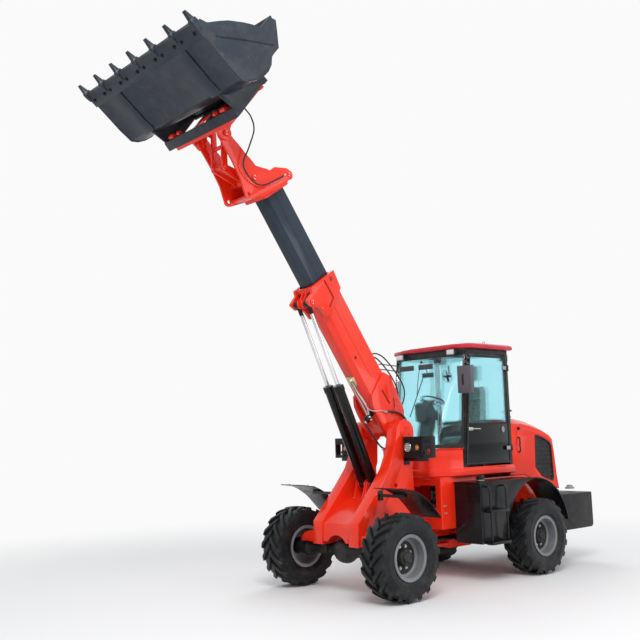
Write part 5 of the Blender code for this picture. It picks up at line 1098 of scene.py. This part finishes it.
for side, sign in sides:
    across = Vector((0, sign, 0))
    cap = pinCap(boomPivot + across * look["across"], across, look["radius"], look["height"])
    finish(cap, f"pivot_cap_{side}", "chassis_front", "red", 34)
    places = []
    for i in range(look["bolts"]):
        angle = math.pi / 2 + 2 * math.pi * i / look["bolts"]
        spot = Vector((math.cos(angle), 0, math.sin(angle))) * look["boltCircle"]
        places.append(boomPivot + spot + across * (look["across"] + 0.0075))
    boltGroup(f"pivot_bolts_{side}", "chassis_front", places, (0, sign, 0), 0.024, "red")

# steel pipes under the boom with their bracket and the lock valve
bracket = [tiltedBar(boomAxes, (0.84, -0.080, -0.0665), (0.965, 0.082, -0.0605), 0.002),
           tiltedBar(boomAxes, (0.84, 0.0745, -0.148), (0.965, 0.0815, -0.062), 0.002),
           tiltedBar(boomAxes, (0.86, 0.075, -0.152), (0.95, 0.150, -0.146), 0.002)]
bolts = [hexBolt(onBoom(s, -0.10, 0.0812), (0, 1, 0), 0.016) for s in (0.865, 0.94)]
finish(merged(bracket + bolts), "pipe_bracket", "boom_base", "brass", 30)
pipeRuns = [  # (s, h, y) points of each steel pipe under the boom
    ((0.93, -0.160, 0.100), (0.80, -0.168, 0.130), (0.62, -0.165, 0.160), (0.50, -0.166, 0.172),
     (0.42, -0.100, 0.188), (0.345, 0.010, 0.203), (0.300, 0.050, 0.205)),
    ((0.93, -0.160, 0.120), (0.80, -0.185, 0.150), (0.62, -0.185, 0.172), (0.52, -0.188, 0.180),
     (0.46, -0.215, 0.180)),
    ((0.93, -0.160, 0.080), (0.80, -0.190, 0.110), (0.62, -0.205, 0.140), (0.50, -0.215, 0.150),
     (0.44, -0.225, 0.155)),
]
pipeRadius = 0.0075
runs = [pipe([onBoom(*p) for p in run], pipeRadius, 3) for run in pipeRuns]
collars = []
for run in pipeRuns:
    a, b = onBoom(*run[-1]), onBoom(*run[-2])
    collars.append(spun([(-0.018, 0.0085), (-0.014, 0.0125), (0.014, 0.0125), (0.018, 0.0085)], a, a - b, 6))
finish(merged(runs + collars), "steel_pipes", "boom_base", "zinc", 40)
valve = [tiltedBar(boomAxes, (0.355, 0.135, -0.285), (0.445, 0.190, -0.205), 0.006),
         tiltedBar(boomAxes, (0.375, 0.142, -0.320), (0.425, 0.184, -0.280), 0.008),
         tiltedBar(boomAxes, (0.36, 0.128, -0.260), (0.44, 0.136, -0.080), 0.002)]
knobs = [spun([(0, 0.014), (0.020, 0.014), (0.024, 0.010), (0.034, 0.009), (0.034, 0.0)],
              onBoom(s, -0.245, 0.190), (0, 1, 0), 20) for s in (0.378, 0.422)]
finish(merged(valve), "lock_valve", "boom_base", "black", 34)
finish(merged(knobs), "lock_valve_knobs", "boom_base", "zinc", 34)
print("pins and pipes done")


# hoses: each a rubber hose between two fittings
hoseRuns = [  # name, body, radius and its points: along the boom, square to it, across
    ("pivot_hose", "boom_base", 0.0125, (
        (0.300, 0.050, 0.205), (0.272, 0.100, 0.206), (0.165, 0.232, 0.208), (0.020, 0.312, 0.208),
        (-0.100, 0.285, 0.206), (-0.125, 0.190, 0.203), (-0.070, 0.120, 0.200),
    )),
    ("valve_hose", "boom_base", 0.0120, (
        (0.400, -0.318, 0.165), (0.330, -0.335, 0.178), (0.150, -0.330, 0.190),
        (-0.030, -0.300, 0.192), (-0.115, -0.220, 0.192), (-0.050, -0.120, 0.190),
    )),
    ("back_hose_0", "boom_base", 0.0100, (
        (0.93, 0.404, 0.010), (0.99, 0.480, 0.008), (0.93, 0.590, 0.004), (0.781, 0.680, 0.0),
        (0.487, 0.745, 0.0), (0.246, 0.745, 0.0), (0.110, 0.630, 0.0), (0.080, 0.490, 0.0),
        (0.150, 0.360, 0.0),
    )),
    ("back_hose_1", "boom_base", 0.0100, (
        (0.93, 0.404, -0.035), (0.96, 0.470, -0.037), (0.89, 0.560, -0.040), (0.741, 0.625, -0.045),
        (0.487, 0.675, -0.05), (0.276, 0.660, -0.05), (0.165, 0.560, -0.05), (0.150, 0.460, -0.05),
        (0.200, 0.375, -0.05),
    )),
    ("head_hose", "boom_tip", 0.0095, (
        (3.795, 0.372, 0.247), (3.800, 0.250, 0.262), (3.838, -0.060, 0.280),
        (3.960, -0.200, 0.292), (4.184, -0.218, 0.300), (4.330, -0.010, 0.302),
        (4.485, 0.200, 0.302), (4.640, 0.255, 0.302), (4.763, 0.232, 0.300), (4.851, 0.231, 0.300),
    )),
]


def smoothRoute(knots, spacing):
    # points along a smooth curve through the knots, about that far apart
    ends = [knots[0] * 2 - knots[1]] + list(knots) + [knots[-1] * 2 - knots[-2]]
    made = [knots[0].copy()]
    for before, start, end, after in zip(ends, ends[1:], ends[2:], ends[3:]):
        steps = max(2, round((end - start).length / spacing))
        for i in range(1, steps + 1):
            t = i / steps
            made.append(0.5 * (start * 2 + (end - before) * t
                               + (before * 2 - start * 5 + end * 4 - after) * t ** 2
                               + (start * 3 - before - end * 3 + after) * t ** 3))
    return made


def tubeAlong(route, radius):
    bpy.ops.curve.primitive_bezier_curve_add(location=(0, 0, 0))
    obj = bpy.context.active_object
    obj.data.splines.clear()
    line = obj.data.splines.new("POLY")
    line.points.add(len(route) - 1)
    for knot, point in zip(line.points, route):
        knot.co = (*point, 1.0)
    obj.data.dimensions = "3D"
    obj.data.bevel_depth = radius
    obj.data.bevel_resolution = 4
    obj.data.use_fill_caps = True
    choose(obj)
    bpy.ops.object.convert(target="MESH")
    return bpy.context.active_object


for name, body, radius, run in hoseRuns:
    points = [onBoom(*p) for p in run]
    route = smoothRoute(points, radius * 1.6)
    crossing = name == "head_hose"      # its far end moves with the bucket
    hose = finish(tubeAlong(route, radius), name, None if crossing else body, "hose", 50)
    if name != "valve_hose":            # that one is a short line held at both ends
        sum((b - a).length for a, b in zip(route, route[1:]))
    if crossing:
        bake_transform(hose)
    ferrules = []
    ends = ((points[0], points[1]), (points[-1], points[-2]))
    for a, b in ends[:1] if crossing else ends:
        along = (b - a).normalized()
        ferrules.append(spun([(-0.012, radius * 0.7), (-0.010, radius * 1.25), (0.004, radius * 1.25),
                              (0.006, radius * 1.12), (0.030, radius * 1.12), (0.033, radius * 1.02)],
                             a, along, 20))
    finish(merged(ferrules), name + "_fittings", body, "zinc", 34)
print("boom details done")


# chassis: frame bolts, deck studs, tank cap, seam and bolts, fender bolts
chassisLook = {
    "frameBolts": ((-1.305, -1.345), 0.6003, (0.945, 1.045)),       # x, across, heights
    "deckStuds": (16, -1.58, -0.072, 1.0503, 1.335),                # count, first x, pitch, across, height
    "tankCap": (-1.71, 0.92, 1.409),
    "tankLip": (-1.71, 0.92, 1.3795),
    "tankSeam": ((-1.531, 0.62, 1.310), (-1.5285, 1.03, 1.322)),
    "tankBolts": (-1.5297, (0.66, 1.0), (0.60, 0.95, 1.28)),
    "fenderBolts": ((0.74, 1.14), ((0.02, 1.3722), (-0.09, 1.3470))),
}
look = chassisLook
for side, sign in sides:
    alongs, y, heights = look["frameBolts"]
    places = [at(x, sign * y, z) for x in alongs for z in heights]
    boltGroup(f"frame_bolts_{side}", "chassis_rear", places, (0, sign, 0), 0.020, "zinc")
for side, sign in sides:
    count, first, pitch, y, z = look["deckStuds"]
    places = [at(first + pitch * i, sign * y, z) for i in range(count)]
    boltGroup(f"deck_studs_{side}", "chassis_rear", places, (0, sign, 0), 0.007, "axle")
    x, y, z = look["tankCap"]
    cap = spun([(-0.004, 0.060), (0.012, 0.060), (0.016, 0.056), (0.020, 0.044), (0.036, 0.042),
                (0.040, 0.036), (0.040, 0.0)], at(x, sign * y, z), (0, 0, 1), 32)
    finish(cap, f"tank_cap_{side}", "chassis_rear", "black", 34)
    x, y, z = look["tankLip"]
    lip = spun([(-0.001, 0.064), (0.004, 0.064), (0.004, 0.057), (-0.001, 0.057), (-0.001, 0.064)],
               at(x, sign * y, z), (0, 0, 1), 32)
    finish(lip, f"tank_lip_{side}", "chassis_rear", "chrome", 34)
    seam = sideBar(sign, *look["tankSeam"], 0.001)
    finish(seam, f"tank_seam_{side}", "chassis_rear", "axle", 30)
    x, acrosses, heights = look["tankBolts"]
    places = [at(x, sign * y, z) for y in acrosses for z in heights]
    boltGroup(f"tank_bolts_{side}", "chassis_rear", places, (1, 0, 0), 0.014, "axle")
    acrosses, spots = look["fenderBolts"]
    places = [at(x, sign * y, z) for y in acrosses for x, z in spots]
    boltGroup(f"fender_bolts_{side}", "chassis_front", places, (-0.15, 0, 1), 0.016, "axle")


# the air intake on the hood and the lifting cap on the counterweight
capLook = {
    "intake": (-3.00, 0.48, 2.245),
    "intakeProfile": ((0.0, 0.050), (0.020, 0.050), (0.024, 0.030), (0.090, 0.030), (0.094, 0.062),
                      (0.100, 0.070), (0.112, 0.070), (0.120, 0.060), (0.126, 0.030), (0.128, 0.0)),
    "weight": (-4.44, 0.55),
    "weightProfile": ((-0.004, 0.075), (0.016, 0.075), (0.022, 0.068), (0.026, 0.050), (0.050, 0.046),
                      (0.056, 0.038), (0.056, 0.0)),
}
intake = spun(capLook["intakeProfile"], at(*capLook["intake"]), (0, 0, 1), 36)
finish(intake, "intake_cap", "engine_hood", "cab", 34)
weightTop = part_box("counterweight")[1][2]
lift = spun(capLook["weightProfile"], at(*capLook["weight"], weightTop), (0, 0, 1), 36)
finish(lift, "counterweight_cap", "chassis_rear", "lampGrey", 34)


# valve banks behind the rear frame's front windows
bankLook = {
    "plate": ((-1.52, 0.20, 1.02), (-1.49, 0.50, 1.33)),
    "portHeights": (1.08, 1.17, 1.26),
    "port": ((0.0, 0.030), (0.060, 0.030), (0.066, 0.022), (0.090, 0.020), (0.090, 0.0)),
    "lines": (4, 0.24, 0.065, 0.009),       # count, first place across, pitch, radius
}
for side, sign in sides:
    bay = [sideBar(sign, *bankLook["plate"], 0.006)]
    for i, z in enumerate(bankLook["portHeights"]):
        bay.append(spun(bankLook["port"], at(-1.495, sign * (0.27 + 0.075 * (i % 2)), z), (1, 0, 0), 24))
    count, first, pitch, radius = bankLook["lines"]
    for i in range(count):
        y = first + pitch * i
        bay.append(sidePipe(sign, [(-1.495, y, 1.05 + 0.03 * i), (-1.42, y + 0.01, 1.07 + 0.03 * i),
                                   (-1.38, y + 0.03, 1.15), (-1.41, y + 0.02, 1.26), (-1.49, y, 1.30)],
                            radius, 3))
    finish(merged(bay), f"valve_bank_{side}", "chassis_rear", "black", 40)
print("chassis details done")


# bucket: edge bolts, ribs on its sides, weld lines
bucketLook = {  # along the floor and square to it
    "half": 1.25,
    "lip": 0.786,
    "teeth": 7,
    "toothHalf": 0.031,
    "boltPitch": 0.075,
    "floorWelds": ((-0.845, -0.645, 0.645, 0.845), (0.60, 0.40, 0.20)),     # across, along
    "edgeWeld": (0.598, 1.235),
    "rib": ((0.516, 0.122), (0.25, 0.42), (-0.03, 0.716)),
    "heel": ((-0.085, 0.08), (-0.140, 0.18), (-0.173, 0.29), (-0.180, 0.40), (-0.158, 0.50), (-0.099, 0.59)),
    "backWelds": (-0.765, -0.740, 0.740, 0.765),
    "back": ((-0.02, 0.020), (-0.10, 0.10), (-0.15, 0.20), (-0.178, 0.30), (-0.182, 0.40), (-0.160, 0.50)),
}
look = bucketLook
places = []
for i in range(look["teeth"]):
    y = (look["half"] - look["toothHalf"] + 0.02) * (2 * i / (look["teeth"] - 1) - 1)
    for step in (-look["boltPitch"], look["boltPitch"]):
        if abs(y + step) < look["half"] - 0.02:
            places.append(onBucket(look["lip"] - 0.10, -0.022, y + step))
down = onBucket(0, -1) - onBucket(0, 0)
boltGroup("edge_bolts", "attachment", places, down, 0.034, "axle")
acrosses, alongs = look["floorWelds"]
welds = [pipe([onBucket(f, -0.014, y) for f in alongs], 0.0045, 2) for y in acrosses]
along, reach = look["edgeWeld"]
welds.append(pipe([onBucket(along, -0.010, y) for y in (-reach, 0.0, reach)], 0.0050, 2))
for side, sign in sides:
    rib = look["rib"]
    strips = [roundedStrip(bucketAxes, a, b, sign * 1.2508, 0.0030, 0.012) for a, b in zip(rib, rib[1:])]
    finish(merged(strips), f"bucket_rib_{side}", "attachment", "slate", 30)
    bead = pipe([onBucket(f + 0.022, u, sign * 1.2495) for f, u in look["heel"]], 0.0050, 2)
    finish(bead, f"bucket_side_weld_{side}", "attachment", "slate", 60)
for y in look["backWelds"]:
    welds.append(pipe([onBucket(f, u + 0.012, y) for f, u in look["back"]], 0.0055, 2))
finish(merged(welds), "bucket_welds", "attachment", "slate", 60)
print("bucket details done")


# cab inside: mirror, fan, sun visors, levers, dials
cabLook = {
    "mirror": ((-1.765, -0.110, 2.865), (-1.745, 0.110, 2.935)),
    "mirrorStem": ((-1.745, 0, 2.93), (-1.73, 0, 2.98), (-1.725, 0, 3.03)),
    "fan": (-1.80, 0.34, 2.86),
    "fanFaces": (0.92, 0, -0.25),
    "fanRings": (0.030, 0.055, 0.078, 0.092),
    "blades": 4,
    "fanStem": ((-1.815, 0.34, 2.87), (-1.84, 0.34, 2.92), (-1.84, 0.34, 3.02)),
    "visors": (-0.36, 0.02),
    "levers": (-0.150, -0.115),
    "dials": (-0.06, 0.0, 0.06),
    "dashFaces": (-0.75, 0, 0.66),
}
look = cabLook
glassMirror = sideBar(1, *look["mirror"], 0.008)
stem = sidePipe(1, look["mirrorStem"], 0.006, 3)
finish(merged([glassMirror, stem]), "inner_mirror", "chassis_rear", "cab", 34)
fanPlace = at(*look["fan"])
cage = [ring(fanPlace, look["fanFaces"], r, 0.0022, 36, 6) for r in look["fanRings"]]
blades = []
for i in range(look["blades"]):
    blade = chip((0.066, 0.036, 0.003), 0.001, (0.040, 0, 0), (0, 0.35, 0.94))
    blade.data.transform(Matrix.Rotation(2 * math.pi / look["blades"] * i, 4, "Z"))
    blades.append(blade)
hubPart = spun([(-0.020, 0.024), (0.012, 0.022), (0.018, 0.014), (0.020, 0.0)], (0, 0, 0), (0, 0, 1), 24)
fan = merged(blades + [hubPart])
fan.data.transform(facing(fanPlace, look["fanFaces"]))
stem = sidePipe(1, look["fanStem"], 0.008, 3)
finish(merged(cage + [fan, stem]), "cab_fan", "chassis_rear", "cab", 34)
visors = [bar(at(-1.70, y - 0.14, 2.985), at(-1.685, y + 0.14, 3.06), 0.005) for y in look["visors"]]
finish(merged(visors), "sun_visors", "chassis_rear", "inside", 30)
levers = []
for y in look["levers"]:
    levers.append(pipe([at(-1.79, y, 2.36), at(-1.80, y - 0.03, 2.46), at(-1.81, y - 0.05, 2.52)], 0.006, 3))
    levers.append(spun([(-0.016, 0.0), (-0.012, 0.014), (0.0, 0.018), (0.012, 0.014), (0.016, 0.0)],
                       at(-1.811, y - 0.052, 2.535), (0, 0, 1), 20))
finish(merged(levers), "cab_levers", "chassis_rear", "cab", 50)
dash = [ring(at(-1.69, y, 2.505), look["dashFaces"], 0.026, 0.004, 28, 8) for y in look["dials"]]
knob = spun([(-0.010, 0.016), (0.006, 0.017), (0.010, 0.012), (0.010, 0.0)], at(-1.70, 0.10, 2.515),
            look["dashFaces"], 24)
finish(merged(dash), "dash_dials", "chassis_rear", "cab", 40)
finish(knob, "dash_knob", "chassis_rear", "redLens", 40)
print("cab inside done")


# seat: a moulded frame under three cloth cushions filled by simulation
seatLook = {
    "x": -2.69,
    "y": 0.16,
    "voxel": 0.006,
    "pressure": 4.0,
    "frames": 20,
    "inset": 0.010,               # how much narrower a pad starts
    "cap": 0.014,                 # how far a point may move
    "fill": 0.6,
    "cushion": ((0.635, 1.885), (0.645, 1.915), (0.62, 1.965), (0.56, 1.985), (0.42, 1.972), (0.26, 1.955),
                (0.12, 1.955), (0.10, 1.92), (0.11, 1.88), (0.38, 1.875)),
    "back": ((0.200, 1.985), (0.238, 2.06), (0.232, 2.15), (0.205, 2.32), (0.196, 2.46), (0.185, 2.60),
             (0.160, 2.70), (0.120, 2.735), (0.085, 2.725), (0.045, 2.62), (0.050, 2.42), (0.072, 2.15),
             (0.095, 1.985)),
    "rest": ((0.165, 2.82), (0.168, 2.88), (0.158, 2.98), (0.130, 3.035), (0.095, 3.04), (0.062, 3.00),
             (0.055, 2.92), (0.075, 2.82), (0.120, 2.805)),
}


def padForm(outline, halfWidth, y, crown):
    # the outline drawn from the side, extruded across and narrowed a little towards both ends
    bpy.ops.mesh.primitive_circle_add(vertices=len(outline), radius=1, fill_type="NGON")
    obj = bpy.context.active_object
    for vert, (x, z) in zip(obj.data.vertices, outline):
        vert.co = at(seatLook["x"] + x, y - halfWidth, z)
    bpy.ops.object.mode_set(mode="EDIT")
    bpy.ops.mesh.select_all(action="SELECT")
    bpy.ops.mesh.extrude_region_move(TRANSFORM_OT_translate={"value": (0, halfWidth * 2, 0)})
    bpy.ops.mesh.select_all(action="SELECT")
    bpy.ops.mesh.normals_make_consistent(inside=False)
    bpy.ops.object.mode_set(mode="OBJECT")
    bevelled(obj, crown, 4, 50)
    return obj


def pad(name, outline, halfWidth, crown):
    # a cushion: the form in voxels, blown up as cloth, then smoothed
    look = seatLook
    obj = padForm(outline, halfWidth - look["inset"], look["y"], crown)
    step = obj.modifiers.new("voxels", "REMESH")
    step.mode = "VOXEL"
    step.voxel_size = look["voxel"]
    applyAll(obj)
    before = [vert.co.copy() for vert in obj.data.vertices]
    choose(obj)
    cloth = obj.modifiers.new("cloth", "CLOTH")
    cloth.settings.quality = 4
    cloth.settings.mass = 0.3
    cloth.settings.tension_stiffness = 12
    cloth.settings.compression_stiffness = 12
    cloth.settings.bending_stiffness = 2
    cloth.settings.use_pressure = True
    cloth.settings.uniform_pressure_force = look["pressure"]
    cloth.settings.effector_weights.gravity = 0
    cloth.collision_settings.use_self_collision = False
    cloth.point_cache.frame_end = look["frames"]
    for i in range(1, look["frames"] + 1):
        bpy.context.scene.frame_set(i)
    applyAll(obj)
    bpy.context.scene.frame_set(1)
    for vert, start in zip(obj.data.vertices, before):
        moved = vert.co - start
        if moved.length > look["cap"]:
            vert.co = start + moved.normalized() * look["cap"]
    choose(obj)
    fine = obj.modifiers.new("fine", "SUBSURF")
    fine.levels = 1
    fine.render_levels = 1
    applyAll(obj)
    finish(obj, name, "chassis_rear", "seat", 60)
    return obj


def pressed(obj, points, lift):
    # each point brought to the skin of the cushion, lifted a little off it
    made = []
    for point in points:
        _, near, normal, _ = obj.closest_point_on_mesh(point)
        made.append(near + normal * lift)
    return made


pads = [  # name, outline, half width and crown
    ("seat_cushion", "cushion", 0.250, 0.035),
    ("seat_back", "back", 0.235, 0.030),
    ("seat_headrest", "rest", 0.130, 0.025),
]
seatSeams = {  # x, first place across, pitch and height of each sewn row
    "back": [(0.24, -0.19, 0.038, z) for z in (2.20, 2.36, 2.52)],
    "cushion": [(x, -0.20, 0.040, 2.02) for x in (0.26, 0.42)],
}
for name, outlineName, halfWidth, crown in pads:
    outline = seatLook[outlineName]
    cushion = pad(name, outline, halfWidth, crown)
    piping = []
    for sign in (1, -1):
        y = seatLook["y"] + sign * (halfWidth - 0.034)
        loop = [at(seatLook["x"] + x, y, z) for x, z in (*outline, outline[0])]
        fineLoop = [a.lerp(b, t / 3) for a, b in zip(loop, loop[1:]) for t in range(3)] + [loop[-1]]
        piping.append(pipe(pressed(cushion, fineLoop, 0.0010), 0.0035, 2))
    for x, start, pitch, z in seatSeams.get(outlineName, ()):
        row = [at(seatLook["x"] + x, seatLook["y"] + start + pitch * i, z) for i in range(11)]
        piping.append(pipe(pressed(cushion, row, -0.0010), 0.0028, 2))
    finish(merged(piping), name + "_piping", "chassis_rear", "cab", 50)
seatX, seatY = seatLook["x"], seatLook["y"]
stand = [bar(at(seatX + 0.18, seatY - 0.20, 1.466), at(seatX + 0.52, seatY + 0.20, 1.84), 0.030, 3),
         bar(at(seatX + 0.12, seatY - 0.235, 1.842), at(seatX + 0.60, seatY + 0.235, 1.882), 0.015, 3)]
for i in range(4):                # the folds of the suspension's bellows
    z = 1.60 + 0.045 * i
    stand.append(bar(at(seatX + 0.172, seatY - 0.208, z), at(seatX + 0.528, seatY + 0.208, z + 0.024),
                     0.010, 3))
for k in (1, -1):                 # armrests with their brackets, and the headrest's posts
    y = seatY + k * 0.275
    stand.append(bar(at(seatX + 0.12, y - 0.030, 2.17), at(seatX + 0.50, y + 0.030, 2.22), 0.018, 3))
    y = seatY + k * 0.25
    stand.append(bar(at(seatX + 0.10, y - 0.045, 2.155), at(seatX + 0.18, y + 0.045, 2.235), 0.014, 3))
    y = seatY + k * 0.06
    stand.append(pipe([at(seatX + 0.10, y, 2.66), at(seatX + 0.105, y, 2.76), at(seatX + 0.11, y, 2.86)],
                      0.009, 3))
frameOfSeat = finish(merged(stand), "seat_frame", "chassis_rear", "inside", 34)
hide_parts("seat")
print("seat done")


# stage: a pale floor under a near-white room, three soft lamps
studioLook = {
    "floor": (0.90, 0.90, 0.90),
    "backdrop": (0.955, 0.955, 0.955, 1.0),
    "fade": (4.5, 11.0),          # where the floor starts and ends turning into the backdrop
    "light": (0.95, 0.97, 1.0, 1.0),
    "strength": 0.60,
    "aim": (0, 0, 2),
    "lamps": (  # name, position, size, watts
        ("key", (7, 8, 12), 6, 1080),
        ("fill", (-3, 12, 5), 7, 270),
        ("back", (-9, -8, 10), 6, 380),
    ),
}
floorPaint = Paint("pale floor", "floor")
floorPaint.wear(Base_Color=studioLook["floor"], Roughness=0.9)
# far from the machine the floor turns into the backdrop, for the lens only
reach = floorPaint.node("ShaderNodeVectorMath", {"operation": "LENGTH"},
                        {0: floorPaint.node("ShaderNodeTexCoord", {}, {}, "Object")}, "Value")
lens = floorPaint.node("ShaderNodeLightPath", {}, {}, "Is Camera Ray")
glow = floorPaint.node("ShaderNodeEmission", {}, {"Color": studioLook["backdrop"], "Strength": 1.0})
floorMix = floorPaint.node("ShaderNodeMixShader", {}, {0: reach.ramp(*studioLook["fade"]) * lens})
links = floorPaint.tree.links
links.new(floorPaint.shader.outputs[0], floorMix.socket.node.inputs[1])
links.new(glow.socket, floorMix.socket.node.inputs[2])
links.new(floorMix.socket, floorPaint.tree.nodes["Material Output"].inputs["Surface"])
bpy.ops.mesh.primitive_plane_add(size=300, location=(0, 0, -0.002))
floor = bpy.context.active_object
floor.name = "floor"
floor.data.materials.append(floorPaint.material)

# the lens, glossy paint and glass see a near-white room; everything else sees a softer grey light
world = bpy.data.worlds.new("studio")
bpy.context.scene.world = world
world.use_nodes = True
tree = world.node_tree
soft = tree.nodes["Background"]
soft.inputs["Color"].default_value = studioLook["light"]
soft.inputs["Strength"].default_value = studioLook["strength"]
pale = tree.nodes.new("ShaderNodeBackground")
pale.inputs["Color"].default_value = studioLook["backdrop"]
pale.inputs["Strength"].default_value = 1.0
rays = tree.nodes.new("ShaderNodeLightPath")
either = tree.nodes.new("ShaderNodeMath")
either.operation = "MAXIMUM"
tree.links.new(rays.outputs["Is Camera Ray"], either.inputs[0])
tree.links.new(rays.outputs["Is Transmission Ray"], either.inputs[1])
seenToo = tree.nodes.new("ShaderNodeMath")
seenToo.operation = "MAXIMUM"
tree.links.new(either.outputs[0], seenToo.inputs[0])
tree.links.new(rays.outputs["Is Glossy Ray"], seenToo.inputs[1])
mixed = tree.nodes.new("ShaderNodeMixShader")
tree.links.new(seenToo.outputs[0], mixed.inputs[0])
tree.links.new(soft.outputs[0], mixed.inputs[1])
tree.links.new(pale.outputs[0], mixed.inputs[2])
tree.links.new(mixed.outputs[0], tree.nodes["World Output"].inputs["Surface"])

for name, place, size, watts in studioLook["lamps"]:
    light = bpy.data.lights.new(name, "AREA")
    light.size = size
    light.energy = watts
    lamp = bpy.data.objects.new(name, light)
    bpy.context.collection.objects.link(lamp)
    lamp.location = place
    lamp.rotation_euler = (Vector(studioLook["aim"]) - Vector(place)).to_track_quat("-Z", "Y").to_euler()
print("studio lit")


# camera
shot = {  # measured on the photograph
    "place": (7.937 + frontAxleX, 8.648, 2.051),
    "yaw": math.radians(228.746),
    "pitch": math.radians(7.635),
    "roll": math.radians(-1.628),
    "sensor": 36,                 # millimetres
    "focalInWidths": 864.03 / 640,
}
ahead = Vector((math.cos(shot["pitch"]) * math.cos(shot["yaw"]),
                math.cos(shot["pitch"]) * math.sin(shot["yaw"]), math.sin(shot["pitch"])))
level = ahead.cross(Vector((0, 0, 1))).normalized()
upright = level.cross(ahead)
cos, sin = math.cos(shot["roll"]), math.sin(shot["roll"])
right = level * cos + upright * sin
top = upright * cos - level * sin
camera = bpy.data.objects.new("camera", bpy.data.cameras.new("camera"))
bpy.context.collection.objects.link(camera)
camera.matrix_world = Matrix((
    (right.x, top.x, -ahead.x, shot["place"][0]),
    (right.y, top.y, -ahead.y, shot["place"][1]),
    (right.z, top.z, -ahead.z, shot["place"][2]),
    (0, 0, 0, 1),
))
camera.data.sensor_width = shot["sensor"]
camera.data.lens = shot["sensor"] * shot["focalInWidths"]
camera.data.clip_end = 200
bpy.context.scene.camera = camera
bpy.context.scene.view_settings.view_transform = "Standard"
print("camera set")
